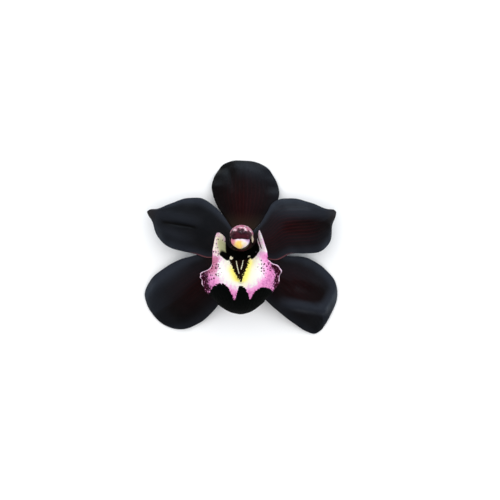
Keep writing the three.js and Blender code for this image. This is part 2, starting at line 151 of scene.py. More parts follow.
def stroke(x: np.ndarray, y: np.ndarray, line: Iterable[Pair]) -> tuple[np.ndarray, np.ndarray]:
    """How far points lie from a bent line in plan.

    Args:
        x: The points' first coordinate.
        y: Their second coordinate.
        line: The line's corners.

    Returns:
        The distance to the line, and the share of its corners passed at the nearest place.
    """
    corners = list(line)
    best = np.full(np.shape(x), np.inf)
    share = np.zeros(np.shape(x))
    for index, ((ax, ay), (bx, by)) in enumerate(zip(corners, corners[1:])):
        dx, dy = bx - ax, by - ay
        t = np.clip(((x - ax) * dx + (y - ay) * dy) / (dx * dx + dy * dy), 0.0, 1.0)
        distance = np.hypot(x - ax - t * dx, y - ay - t * dy)
        nearer = distance < best
        best = np.where(nearer, distance, best)
        share = np.where(nearer, (index + t) / (len(corners) - 1), share)
    return best, share


# ---- Meshes ---------------------------------------------------------------------------------------------

@dataclass
class Skin:
    """Points, faces and painted fields of one closed surface, in the flower's millimetres."""

    points: np.ndarray
    faces: list
    fields: dict[str, np.ndarray] = field(default_factory=dict)


def grid_faces(index: np.ndarray, flip: bool = False) -> list:
    """Quads over a grid of vertex numbers.

    Args:
        index: Vertex number at each row and column.
        flip: Whether the faces turn the other way.

    Returns:
        A list of vertex number rows.
    """
    corners = (index[:-1, :-1], index[1:, :-1], index[1:, 1:], index[:-1, 1:])
    quads = np.stack([corner.ravel() for corner in corners], axis=1)
    return (quads[:, ::-1] if flip else quads).tolist()


def sheet_skin(front: np.ndarray, back: np.ndarray, fields: dict[str, tuple]) -> Skin:
    """A thin sheet closed along its four sides.

    Args:
        front: Grid of points on the side that its normals point to.
        back: Grid of points on the other side. Its outer ring is left out for the front's.
        fields: For each name, the field on the front and on the back.

    Returns:
        The closed surface.
    """
    rows, columns = front.shape[:2]
    index = np.arange(rows * columns).reshape(rows, columns)
    under = index.copy()
    inner = (rows - 2) * (columns - 2)
    under[1:-1, 1:-1] = (rows * columns + np.arange(inner)).reshape(rows - 2, columns - 2)
    points = np.concatenate([front.reshape(-1, 3), back[1:-1, 1:-1].reshape(-1, 3)])
    merged = {
        name: np.concatenate([np.broadcast_to(a, (rows, columns)).ravel(),
                              np.broadcast_to(b, (rows, columns))[1:-1, 1:-1].ravel()])
        for name, (a, b) in fields.items()
    }
    return Skin(points, grid_faces(index) + grid_faces(under, flip=True), merged)


def loft_skin(rings: np.ndarray, fields: dict[str, np.ndarray]) -> Skin:
    """A closed surface through rings, with a point in the middle of each end.

    Args:
        rings: Rings of points, each anticlockwise when seen from the last ring's side.
        fields: For each name, a field with a value at every ring point.

    Returns:
        The closed surface.
    """
    count, sides = rings.shape[:2]
    index = np.arange(count * sides).reshape(count, sides)
    wrapped = np.concatenate([index, index[:, :1]], axis=1)
    ends = np.stack([rings[0].mean(axis=0), rings[-1].mean(axis=0)])
    start, end = count * sides, count * sides + 1
    faces = grid_faces(wrapped, flip=True)
    for j in range(sides):
        faces.append([start, wrapped[0, j + 1], wrapped[0, j]])
        faces.append([end, wrapped[-1, j], wrapped[-1, j + 1]])
    merged = {name: np.concatenate([value.ravel(), [value[0].mean(), value[-1].mean()]])
              for name, value in fields.items()}
    return Skin(np.concatenate([rings.reshape(-1, 3), ends]), faces, merged)


def ball_rings(half: Triple, rows: int, sides: int) -> np.ndarray:
    """Rings of an ellipsoid from its lowest to its highest point, a hair short of both.

    Args:
        half: Its half sizes.
        rows: The number of rings.
        sides: The points in each.

    Returns:
        The rings of points.
    """
    hair = 0.02
    polar = np.linspace(hair, math.pi - hair, rows)[:, None]
    turn = np.linspace(0.0, TURN, sides, endpoint=False)[None, :]
    ball = (np.sin(polar) * np.cos(turn), np.sin(polar) * np.sin(turn), -np.cos(polar) * np.ones_like(turn))
    return np.stack(ball, axis=-1) * np.array(half)


def leaned(points: np.ndarray, lean: float) -> np.ndarray:
    """Points turned about X by lean radians."""
    cos, sin = math.cos(lean), math.sin(lean)
    return points @ np.array([[1, 0, 0], [0, cos, sin], [0, -sin, cos]])


@dataclass(frozen=True)
class Berth:
    """The stretch and shift that lay a piece's millimetres over its box in the frame."""

    stretch: np.ndarray
    shift: np.ndarray

    @classmethod
    def over(cls, node: str, plain: np.ndarray) -> "Berth":
        """The berth that lays the box of plain points over a node's box.

        Args:
            node: Name of the plain model's piece.
            plain: Points of the same shape in the flower's millimetres, without fine detail.

        Returns:
            The berth.
        """
        low, high = (np.array(corner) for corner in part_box(node))
        flat = plain.reshape(-1, 3)
        stretch = (high - low) / np.ptp(flat, axis=0)
        return cls(stretch, low - flat.min(axis=0) * stretch)

    def place(self, points: np.ndarray) -> np.ndarray:
        """The points in the frame, in metres."""
        return points * self.stretch + self.shift


def new_object(name: str, data: bpy.types.ID) -> bpy.types.Object:
    """A new object in the scene, at the origin and unturned.

    Args:
        name: Its name.
        data: Its mesh, light or camera.

    Returns:
        The object.
    """
    made = bpy.data.objects.new(name, data)
    bpy.context.scene.collection.objects.link(made)
    return made


def mesh_object(name: str, skin: Skin, berth: Berth) -> bpy.types.Object:
    """An object that holds a skin at its place in the frame.

    Args:
        name: The piece's name.
        skin: Its surface.
        berth: Where it lies.

    Returns:
        The object, at the origin and unturned.
    """
    mesh = bpy.data.meshes.new(name)
    mesh.from_pydata(berth.place(skin.points).tolist(), [], skin.faces)
    for label, values in skin.fields.items():
        layer = mesh.attributes.new(label, "FLOAT", "POINT")
        layer.data.foreach_set("value", np.asarray(values, dtype=np.float32))
    mesh.polygons.foreach_set("use_smooth", np.ones(len(mesh.polygons), dtype=bool))
    mesh.update()
    return new_object(name, mesh)


def dress(piece: bpy.types.Object, material: bpy.types.Material, node: str = "") -> None:
    """Give a piece its finish, tie it to the frame and report it.

    Args:
        piece: The finished piece.
        material: Its material.
        node: The plain piece that it stands for, if any.
    """
    if piece.data.materials:
        piece.data.materials[0] = material
    else:
        piece.data.materials.append(material)
    if node:
        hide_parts(node)
    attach(piece, BODY)
    log.info("%s: %d faces", piece.name, len(piece.data.polygons))


# ---- Shader trees ---------------------------------------------------------------------------------------

class Desk:
    """Lays out the nodes of one shader tree."""

    def __init__(self, tree: bpy.types.NodeTree) -> None:
        """Start on a tree."""
        self.tree = tree

    def node(self, kind: str, feeds: Optional[dict] = None, **settings: object) -> bpy.types.Node:
        """A new node with properties set and inputs fed.

        Args:
            kind: The node's type.
            feeds: A socket or a value for inputs, by name or number.
            settings: Properties of the node.

        Returns:
            The node.
        """
        made = self.tree.nodes.new(kind)
        for name, value in settings.items():
            setattr(made, name, value)
        for name, value in (feeds or {}).items():
            self.feed(made.inputs[name], value)
        return made

    def feed(self, socket: Socket, value: Feed) -> None:
        """Link a socket to another, or set its own value.

        Args:
            socket: The input.
            value: A socket, a number, or a colour of three or four parts.
        """
        if isinstance(value, bpy.types.NodeSocket):
            self.tree.links.new(value, socket)
        elif isinstance(value, tuple) and socket.type == "RGBA":
            socket.default_value = (*value, 1.0)[:4]
        else:
            socket.default_value = value

    def painted(self, name: str) -> Socket:
        """The value of a painted field."""
        return self.node("ShaderNodeAttribute", attribute_name=name).outputs["Fac"]

    def here(self) -> Socket:
        """Object coordinates."""
        return self.node("ShaderNodeTexCoord").outputs["Object"]

    def reckon(self, kind: str, a: Feed, b: Feed = 0.0) -> Socket:
        """The result of one Math node."""
        return self.node("ShaderNodeMath", {0: a, 1: b}, operation=kind).outputs[0]

    def add(self, *parts: Feed) -> Socket:
        """The sum of some values."""
        return reduce(lambda a, b: self.reckon("ADD", a, b), parts)

    def times(self, *parts: Feed) -> Socket:
        """The product of some values."""
        return reduce(lambda a, b: self.reckon("MULTIPLY", a, b), parts)

    def step(self, value: Feed, low: Feed, high: Feed) -> Socket:
        """A soft step of value from 0 at low to 1 at high."""
        feeds = {"Value": value, "From Min": low, "From Max": high}
        return self.node("ShaderNodeMapRange", feeds, interpolation_type="SMOOTHSTEP").outputs[0]

    def span(self, value: Feed, low: Feed, high: Feed) -> Socket:
        """Value from 0 to 1 laid over the range from low to high."""
        return self.node("ShaderNodeMapRange", {"Value": value, "To Min": low, "To Max": high}).outputs[0]

    def mix(self, share: Feed, a: Feed, b: Feed) -> Socket:
        """Colour a turned into colour b by a share."""
        return self.node("ShaderNodeMix", {0: share, 6: a, 7: b}, data_type="RGBA").outputs[2]

    def coats(self, ground: Feed, *coats: tuple[Feed, Feed]) -> Socket:
        """A ground colour under coats laid in order, each a share and a colour."""
        return reduce(lambda colour, coat: self.mix(coat[0], colour, coat[1]), coats, ground)

    def noise(self, scale: Feed, detail: float = 3.0, rough: float = 0.5) -> Socket:
        """A noise value around 0.5 over Object coordinates."""
        feeds = {"Vector": self.here(), "Scale": scale, "Detail": detail, "Roughness": rough}
        return self.node("ShaderNodeTexNoise", feeds).outputs["Fac"]

    def rag(self, scale: float, detail: float = 3.0) -> Socket:
        """A noise value around 0 over Object coordinates."""
        return self.reckon("SUBTRACT", self.noise(scale, detail), 0.5)

    def cells(self, scale: Feed) -> bpy.types.Node:
        """Cells over Object coordinates."""
        return self.node("ShaderNodeTexVoronoi", {"Vector": self.here(), "Scale": scale})

    def group(self, tree: bpy.types.NodeTree, **values: Feed) -> dict[str, Socket]:
        """The outputs of a shared effect whose inputs are set, each named with _ for a space."""
        feeds = {name.replace("_", " "): value for name, value in values.items()}
        return dict(self.node("ShaderNodeGroup", feeds, node_tree=tree).outputs.items())


def shader_group(name: str, inputs: dict[str, Feed], outputs: dict[str, str],
                 lay: Callable[[Desk, dict], dict]) -> bpy.types.NodeTree:
    """A shared shader effect.

    Args:
        name: The group's name.
        inputs: Its inputs' names and first values: a number, or a colour of four parts.
        outputs: Its outputs' names and kinds.
        lay: Lays the nodes and returns the socket for each output.

    Returns:
        The node group.
    """
    tree = bpy.data.node_groups.new(name, "ShaderNodeTree")
    for label, value in inputs.items():
        kind = COLOUR if isinstance(value, tuple) else FLOAT
        tree.interface.new_socket(label, in_out="INPUT", socket_type=kind).default_value = value
    for label, kind in outputs.items():
        tree.interface.new_socket(label, in_out="OUTPUT", socket_type=kind)
    desk = Desk(tree)
    given = dict(desk.node("NodeGroupInput").outputs.items())
    desk.node("NodeGroupOutput", lay(desk, given))
    return tree


@dataclass
class Effects:
    """The shader groups that the finishes share."""

    grain: bpy.types.NodeTree
    veins: bpy.types.NodeTree
    mottle: bpy.types.NodeTree
    freckles: bpy.types.NodeTree

    @classmethod
    def build(cls) -> "Effects":
        """Every shared effect, built once.

        Returns:
            The effects.
        """
        mid, dark = (0.5, 0.5, 0.5, 1.0), (0.2, 0.2, 0.2, 1.0)
        return cls(
            shader_group("skin_cells", {"Scale": 7000.0, "Unevenness": 1.0},
                         {"Height": FLOAT, "Mask": FLOAT}, cls._grain),
            shader_group("fine_veins", {"Across": 0.0, "Count": 12.0, "Wander": 0.6, "Wander Scale": 120.0,
                                        "Fineness": 5.0},
                         {"Height": FLOAT, "Mask": FLOAT}, cls._veins),
            shader_group("soft_mottle", {"Ground": mid, "Blotch": dark, "Scale": 400.0, "Amount": 0.2},
                         {"Colour": COLOUR, "Mask": FLOAT}, cls._mottle),
            shader_group("freckles", {"Scale": 900.0, "Amount": 0.3, "Size": 0.35},
                         {"Mask": FLOAT}, cls._freckles))

    @staticmethod
    def _grain(desk: Desk, given: dict[str, Socket]) -> dict[str, Socket]:
        """The skin's cells: small domes of uneven height.

        Args:
            desk: A desk on the group.
            given: The group's inputs.

        Returns:
            The group's outputs.
        """
        dome = desk.reckon("SUBTRACT", 1.0, desk.cells(given["Scale"]).outputs["Distance"])
        uneven = desk.noise(desk.times(given["Scale"], 0.11), 2.0)
        return {"Height": desk.add(dome, desk.times(uneven, given["Unevenness"])), "Mask": dome}

    @staticmethod
    def _veins(desk: Desk, given: dict[str, Socket]) -> dict[str, Socket]:
        """Fine lines that run along a piece and wander a little from side to side.

        Args:
            desk: A desk on the group.
            given: The group's inputs.

        Returns:
            The group's outputs.
        """
        wander = desk.reckon("SUBTRACT", desk.noise(given["Wander Scale"], 2.0), 0.5)
        turned = desk.add(desk.times(given["Across"], given["Count"]), desk.times(wander, given["Wander"]))
        height = desk.add(desk.times(desk.reckon("COSINE", desk.times(turned, TURN)), 0.5), 0.5)
        return {"Height": height, "Mask": desk.reckon("POWER", height, given["Fineness"])}

    @staticmethod
    def _mottle(desk: Desk, given: dict[str, Socket]) -> dict[str, Socket]:
        """Soft blotches of one colour in another.

        Args:
            desk: A desk on the group.
            given: The group's inputs.

        Returns:
            The group's outputs.
        """
        cloud = desk.noise(given["Scale"], 4.0, rough=0.6)
        low, high = (desk.reckon("SUBTRACT", edge, given["Amount"]) for edge in (0.62, 0.8))
        mask = desk.step(cloud, low, high)
        return {"Colour": desk.mix(mask, given["Ground"], given["Blotch"]), "Mask": mask}

    @staticmethod
    def _freckles(desk: Desk, given: dict[str, Socket]) -> dict[str, Socket]:
        """Round spots of uneven size, as many as the amount asks for.

        Args:
            desk: A desk on the group.
            given: The group's inputs.

        Returns:
            The group's outputs.
        """
        cells = desk.cells(given["Scale"])
        pick = desk.node("ShaderNodeSeparateColor", {0: cells.outputs["Color"]})
        chosen = desk.step(desk.reckon("SUBTRACT", given["Amount"], pick.outputs[0]), 0.0, 0.06)
        size = desk.times(given["Size"], desk.span(pick.outputs[1], 0.55, 1.0))
        ragged = desk.times(desk.noise(desk.times(given["Scale"], 5.0), 1.0), 0.14)
        edge = desk.add(cells.outputs["Distance"], ragged)
        spot = desk.step(desk.reckon("SUBTRACT", size, edge), -0.03, 0.05)
        return {"Mask": desk.times(spot, chosen)}


class Finish:
    """A material in the making: a desk on its tree, its shader and the painted fields it reads."""

    def __init__(self, name: str) -> None:
        """Start on an empty material.

        Args:
            name: The material's name.
        """
        self.material = bpy.data.materials.new(name)
        self.material.use_nodes = True
        self.desk = Desk(self.material.node_tree)
        self.shader = self.material.node_tree.nodes["Principled BSDF"]

    def evenly(self, **values: object) -> None:
        """Set values that are the same all over, each named with _ for a space."""
        for name, value in values.items():
            self.shader.inputs[name.replace("_", " ")].default_value = value

    def varied(self, colour: Socket, rough: Socket, height: Socket, lift: float) -> bpy.types.Material:
        """Feed what changes over the surface.

        Args:
            colour: The base colour.
            rough: The roughness.
            height: The fine relief.
            lift: How far in metres a height of 1 raises the surface.

        Returns:
            The material.
        """
        bump = self.desk.node("ShaderNodeBump", {"Strength": 1.0, "Distance": lift, "Height": height})
        for name, value in (("Base Color", colour), ("Roughness", rough), ("Normal", bump.outputs["Normal"])):
            self.desk.feed(self.shader.inputs[name], value)
        return self.material


# ---- Finishes -------------------------------------------------------------------------------------------

@dataclass(frozen=True)
class TepalFinish:
    """The near-black, waxy skin of a sepal or a petal, with a painted bluish sheen on its rims and ridges."""

    name: str
    warm: Colour = (0.0090, 0.0006, 0.0008)
    dark: Colour = (0.0034, 0.0031, 0.0031)
    # Bluish grey painted as sheen: the highlight that rims, tips and ridges catch from the lights.
    painted_sheen: Colour = (0.0155, 0.0185, 0.0262)
    ember: Colour = (0.034, 0.0042, 0.0046)
    back: Colour = (0.020, 0.0070, 0.0072)
    claw: Colour = (0.050, 0.030, 0.016)
    # Pinkish beige painted as light along the thin margin near the lip.
    lit_edge: Colour = (0.18, 0.058, 0.066)
    roughness: float = 0.35
    gloss: float = 0.23
    sheen: float = 0.008
    sheen_tint: tuple = (0.72, 0.80, 1.0, 1.0)
    lift: float = 0.00005

    def build(self, effects: Effects) -> bpy.types.Material:
        """The finish as a material.

        Args:
            effects: The shared shader groups.

        Returns:
            The material.
        """
        finish = Finish(self.name)
        desk = finish.desk
        across, painted_sheen = desk.painted("across"), desk.painted("painted_sheen")
        veins = desk.group(effects.veins, Across=across, Count=17.0, Wander=0.5)
        fine = desk.group(effects.veins, Across=across, Count=61.0, Wander=1.4, Wander_Scale=260.0,
                          Fineness=2.0)
        cells = desk.group(effects.grain, Scale=6500.0, Unevenness=1.4)
        black = tuple(0.55 * value for value in self.dark)
        cloud = desk.group(effects.mottle, Ground=self.dark, Blotch=black, Scale=95.0, Amount=0.2)
        drift = desk.add(desk.times(desk.noise(140.0), 1.2), 0.4)
        front = desk.coats(
            cloud["Colour"],
            (desk.times(desk.painted("warm"), drift), self.warm),
            # Fine veins tinted with the painted sheen where the sheen is strong.
            (desk.times(fine["Mask"], drift, desk.span(painted_sheen, 0.07, 0.5)), self.painted_sheen),
            (desk.times(veins["Mask"], drift, desk.painted("ember")), self.ember),
            # The painted sheen itself, over rims, tips and ridges.
            (painted_sheen, self.painted_sheen),
            (desk.painted("claw"), self.claw),
            (desk.painted("lit_edge"), self.lit_edge))
        behind = desk.mix(veins["Mask"], self.back, self.dark)
        colour = desk.mix(desk.painted("face"), behind, front)
        rough = desk.span(desk.noise(900.0), self.roughness - 0.07, self.roughness + 0.09)
        height = desk.add(desk.times(veins["Height"], 0.5), desk.times(fine["Height"], 0.3),
                          desk.times(cells["Height"], 0.3), desk.times(desk.noise(240.0, 4.0), 2.2))
        finish.evenly(Specular_IOR_Level=self.gloss, Sheen_Weight=self.sheen, Sheen_Roughness=0.5,
                      Sheen_Tint=self.sheen_tint)
        return finish.varied(colour, rough, height, self.lift)


@dataclass(frozen=True)
class LipFinish:
    """The lip: white and pink, with a black band, a throat painted black for its dark colour and the shade
    inside it, yellow patches and freckles.
    """

    white: Colour = (0.82, 0.82, 0.79)
    cream: Colour = (0.82, 0.77, 0.58)
    lilac: Colour = (0.80, 0.56, 0.72)
    pink: Colour = (0.84, 0.32, 0.62)
    magenta: Colour = (0.50, 0.12, 0.34)
    rose: Colour = (0.48, 0.16, 0.26)
    yellow: Colour = (0.88, 0.78, 0.17)
    maroon: Colour = (0.034, 0.004, 0.013)
    brown: Colour = (0.0075, 0.003, 0.002)
    # Black of the band, and of the throat, where it also stands for the shade inside.
    black: Colour = (0.0016, 0.0020, 0.0017)
    olive: Colour = (0.56, 0.56, 0.31)
    outside: Colour = (0.62, 0.44, 0.52)
    gloss: float = 0.03
    matt: float = 0.72
    lift: float = 0.00005

    def build(self, effects: Effects) -> bpy.types.Material:
        """The finish as a material.

        Args:
            effects: The shared shader groups.

        Returns:
            The material.
        """
        finish = Finish("lip_skin")
        desk = finish.desk
        painted = {name: desk.painted(name) for name in (
            "across", "face", "band", "callus", "keel", "throat", "yellow", "pink", "rose", "olive",
            "cream", "stripe", "freckle", "frill", "rim")}
        ragged, broad = desk.rag(1150.0), desk.rag(330.0, 2.0)
        veins = desk.group(effects.veins, Across=painted["across"], Count=26.0, Wander=1.0,
                           Wander_Scale=300.0, Fineness=4.0)
        cells = desk.group(effects.grain, Scale=5200.0, Unevenness=1.2)
        spots = desk.group(effects.freckles, Scale=980.0, Amount=painted["freckle"], Size=0.56)

        def torn(name: str, low: float, high: float, rag: float, sway: float = 0.0) -> Socket:
            """A soft step over a painted field whose edge is torn, and may sway widely too."""
            parts = [painted[name], desk.times(ragged, rag)]
            return desk.step(desk.add(*parts, *([desk.times(broad, sway)] if sway else [])), low, high)

        vein_share = desk.times(desk.reckon("SUBTRACT", veins["Mask"], 0.3), 0.2)
        flush = desk.add(painted["pink"], desk.times(broad, 0.9), desk.times(ragged, 1.3), vein_share)
        frilled = torn("frill", -0.35, 0.55, 6.5, 4.0)
        flecks = desk.times(frilled, desk.step(ragged, 0.07, 0.16), 0.55)
        front = desk.coats(
            self.white,
            (painted["cream"], self.cream),
            (desk.step(flush, 0.0, 0.75), self.lilac),
            (desk.step(flush, 0.25, 1.15), self.pink),
            (desk.step(flush, 0.95, 1.8), self.magenta),
            (desk.times(painted["rose"], desk.step(flush, 0.15, 0.9)), self.rose),
            (painted["olive"], self.olive),
            (torn("yellow", 0.0, 1.15, 0.25), self.yellow),
            (desk.step(painted["stripe"], 0.35, 0.75), self.maroon),
            (spots["Mask"], self.maroon),
            (frilled, self.maroon),
            (flecks, self.pink),
            (torn("rim", 0.45, 0.85, 1.2), self.lilac),
            (torn("callus", -0.16, 0.16, 2.6), self.brown),
            # Painted shade: the throat's black stands for its own dark colour and for the shadow deep inside
            # it.
            (desk.step(painted["throat"], 0.2, 0.8), self.black),
            (desk.step(painted["keel"], 0.3, 0.7), self.cream),
            (torn("band", -0.14, 0.14, 3.0, 1.6), self.black))
        under = desk.group(effects.mottle, Ground=self.outside, Blotch=self.rose, Scale=260.0, Amount=0.2)
        behind = desk.mix(torn("band", -1.6, 1.6, 1.5), under["Colour"], self.maroon)
        colour = desk.mix(painted["face"], behind, front)
        matt = desk.reckon("MAXIMUM", desk.step(painted["band"], -0.2, 0.2), painted["throat"])
        waxy = desk.span(desk.noise(700.0), 0.36, 0.58)
        rough = desk.reckon("MAXIMUM", waxy, desk.times(matt, self.matt))
        height = desk.add(desk.times(veins["Height"], 0.4), desk.times(cells["Height"], 0.5),
                          desk.times(desk.noise(420.0, 4.0), 1.6))
        finish.evenly(Specular_IOR_Level=self.gloss, Subsurface_Weight=0.12,
                      Subsurface_Radius=(1.0, 0.55, 0.5), Subsurface_Scale=0.0008)
        return finish.varied(colour, rough, height, self.lift)


@dataclass(frozen=True)
class ColumnFinish:
    """The column: dark maroon in front and below, mottled white and pink over its hood."""

    pale: Colour = (0.80, 0.62, 0.66)
    rose: Colour = (0.48, 0.13, 0.22)
    maroon: Colour = (0.012, 0.0022, 0.0052)
    ruby: Colour = (0.050, 0.006, 0.013)
    cream: Colour = (0.72, 0.62, 0.44)
    green: Colour = (0.34, 0.36, 0.15)
    stigma: Colour = (0.026, 0.005, 0.011)
    gloss: float = 0.22
    coat: float = 0.05
    lift: float = 0.00004

    def build(self, effects: Effects) -> bpy.types.Material:
        """The finish as a material.

        Args:
            effects: The shared shader groups.

        Returns:
            The material.
        """
        finish = Finish("column_skin")
        desk = finish.desk
        hood = desk.group(effects.mottle, Ground=self.pale, Blotch=self.rose, Scale=750.0, Amount=0.26)
        dusk = desk.group(effects.mottle, Ground=self.maroon, Blotch=self.ruby, Scale=330.0, Amount=0.2)
        cells = desk.group(effects.grain, Scale=6000.0, Unevenness=1.0)
        spots = desk.group(effects.freckles, Scale=1250.0, Amount=desk.painted("freckle"), Size=0.5)
        torn = desk.add(desk.painted("pale"), desk.times(desk.rag(620.0), 2.3))
        stigma = desk.painted("stigma")
        colour = desk.coats(
            dusk["Colour"],
            (desk.step(torn, 0.3, 0.8), hood["Colour"]),
            (desk.painted("cream"), self.cream),
            (desk.painted("green"), self.green),
            (spots["Mask"], self.maroon),
            (stigma, self.stigma))
        height = desk.add(desk.times(cells["Height"], 0.5), desk.times(desk.noise(600.0, 4.0), 1.6))
        finish.evenly(Specular_IOR_Level=self.gloss, Coat_Weight=self.coat, Coat_Roughness=0.25)
        return finish.varied(colour, desk.span(stigma, 0.40, 0.26), height, self.lift)


@dataclass(frozen=True)
class CapFinish:
    """The anther cap: white with violet and pink flushes and a yellow chin."""

    white: Colour = (0.80, 0.68, 0.78)
    violet: Colour = (0.60, 0.34, 0.58)
    pink: Colour = (0.66, 0.20, 0.28)
    yellow: Colour = (0.90, 0.60, 0.14)
    cream: Colour = (0.84, 0.74, 0.52)
    lift: float = 0.00004

    def build(self, effects: Effects) -> bpy.types.Material:
        """The finish as a material.

        Args:
            effects: The shared shader groups.

        Returns:
            The material.
        """
        finish = Finish("anther_skin")
        desk = finish.desk
        cells = desk.group(effects.grain, Scale=6400.0, Unevenness=1.2)
        rag = desk.times(desk.rag(900.0), 0.5)
        coats = [(desk.step(desk.add(desk.painted(name), rag), 0.15, 0.95), getattr(self, name))
                 for name in ("pink", "violet", "yellow", "cream")]
        height = desk.add(desk.times(cells["Height"], 0.5), desk.noise(900.0))
        finish.evenly(Subsurface_Weight=0.15, Subsurface_Radius=(1.0, 0.6, 0.4), Subsurface_Scale=0.0008)
        rough = desk.span(desk.noise(1100.0, 2.0), 0.32, 0.5)
        return finish.varied(desk.coats(self.white, *coats), rough, height, self.lift)


@dataclass(frozen=True)
class PollenFinish:
    """Waxy yellow pollinia on their brown sticky pad."""

    yellow: Colour = (0.82, 0.50, 0.05)
    amber: Colour = (0.45, 0.20, 0.02)
    lift: float = 0.00003

    def build(self, effects: Effects) -> bpy.types.Material:
        """The finish as a material.

        Args:
            effects: The shared shader groups.

        Returns:
            The material.
        """
        finish = Finish("pollen")
        desk = finish.desk
        cloud = desk.group(effects.mottle, Ground=self.yellow, Blotch=self.amber, Scale=900.0, Amount=0.14)
        cells = desk.group(effects.grain, Scale=9000.0, Unevenness=1.0)
        colour = desk.mix(desk.painted("pad"), cloud["Colour"], self.amber)
        return finish.varied(colour, desk.span(cells["Mask"], 0.22, 0.4), cells["Height"], self.lift)


@dataclass(frozen=True)
class StalkFinish:
    """The ribbed ovary and its stalk: olive green, flushed maroon towards the flower."""

    green: Colour = (0.085, 0.115, 0.030)
    light: Colour = (0.20, 0.23, 0.075)
    flush: Colour = (0.060, 0.012, 0.014)
    pith: Colour = (0.55, 0.56, 0.34)
    lift: float = 0.00005

    def build(self, effects: Effects) -> bpy.types.Material:
        """The finish as a material.

        Args:
            effects: The shared shader groups.

        Returns:
            The material.
        """
        finish = Finish("ovary_skin")
        desk = finish.desk
        along = desk.painted("along")
        cloud = desk.group(effects.mottle, Ground=self.green, Blotch=self.light, Scale=300.0, Amount=0.15)
        lines = desk.group(effects.veins, Across=desk.painted("turn"), Count=30.0, Wander=0.8, Fineness=3.0)
        cells = desk.group(effects.grain, Scale=6000.0, Unevenness=1.0)
        shade = desk.add(desk.step(along, 0.62, 0.0), desk.times(desk.rag(220.0), 0.7))
        colour = desk.coats(
            cloud["Colour"],
            (desk.times(lines["Mask"], 0.35), self.light),
            (desk.step(shade, 0.25, 0.95), self.flush),
            (desk.step(along, 0.9985, 0.9995), self.pith))
        height = desk.add(desk.times(lines["Height"], 0.9), desk.times(cells["Height"], 0.5))
        return finish.varied(colour, desk.span(desk.noise(800.0), 0.38, 0.6), height, self.lift)


# ---- The flower's own sizes -----------------------------------------------------------------------------

class Kind(Enum):
    """The two kinds of outer blade."""

    SEPAL = "sepal_skin"
    PETAL = "petal_skin"


@dataclass(frozen=True)
class Bloom:
    """Sizes that the pieces share, in millimetres from the flower's centre line and resting surface."""

    seat: float = 9.8
    claw_radius: float = 4.25
    claw_share: float = 0.105
    margin_share: float = 0.42
    sepal_thickness: float = 1.3
    petal_thickness: float = 1.1
    lip_thickness: float = 1.1
    petal_rise: float = 1.9
    lip_rise: float = 1.6
    throat_half: float = 7.3
    lip_half: float = 19.75
    lip_root: float = 4.65
    lip_reach: float = 35.5
    lip_height: float = 19.9
    lip_offset: float = -0.8
    column_offset: float = -0.6
    cap_lean: float = math.radians(-28)


BLOOM = Bloom()


# ---- Sepals and petals ----------------------------------------------------------------------------------

@dataclass(frozen=True)
class Fold:
    """A ridge in a blade, or a crease where its height is negative.

    start and end are shares of the blade's reach and breadth; height and width are millimetres.
    """

    start: Pair
    end: Pair
    height: float
    width: float


def thinned(full: float, side: np.ndarray, length: np.ndarray, start: float) -> np.ndarray:
    """The thickness of a sheet that thins towards its margins and its end.

    Args:
        full: The thickness in the middle.
        side: Places from -1 at one margin to 1 at the other.
        length: Places from 0 to 1 down the sheet.
        start: Where along the length it begins to thin.

    Returns:
        The thickness at each place.
    """
    thin = np.maximum(np.abs(side) ** 3, rise(length, start, 1.0))
    return full * (1 - (1 - BLOOM.margin_share) * thin)


def walls(middle: np.ndarray, normals: np.ndarray, above: np.ndarray,
          below: np.ndarray) -> tuple[np.ndarray, np.ndarray]:
    """The two faces of a sheet.

    Args:
        middle: Its middle points.
        normals: Their normals.
        above: How far the front lies over the middle.
        below: How far the back lies under it.

    Returns:
        The front and the back.
    """
    return middle + normals * above[..., None], middle - normals * below[..., None]


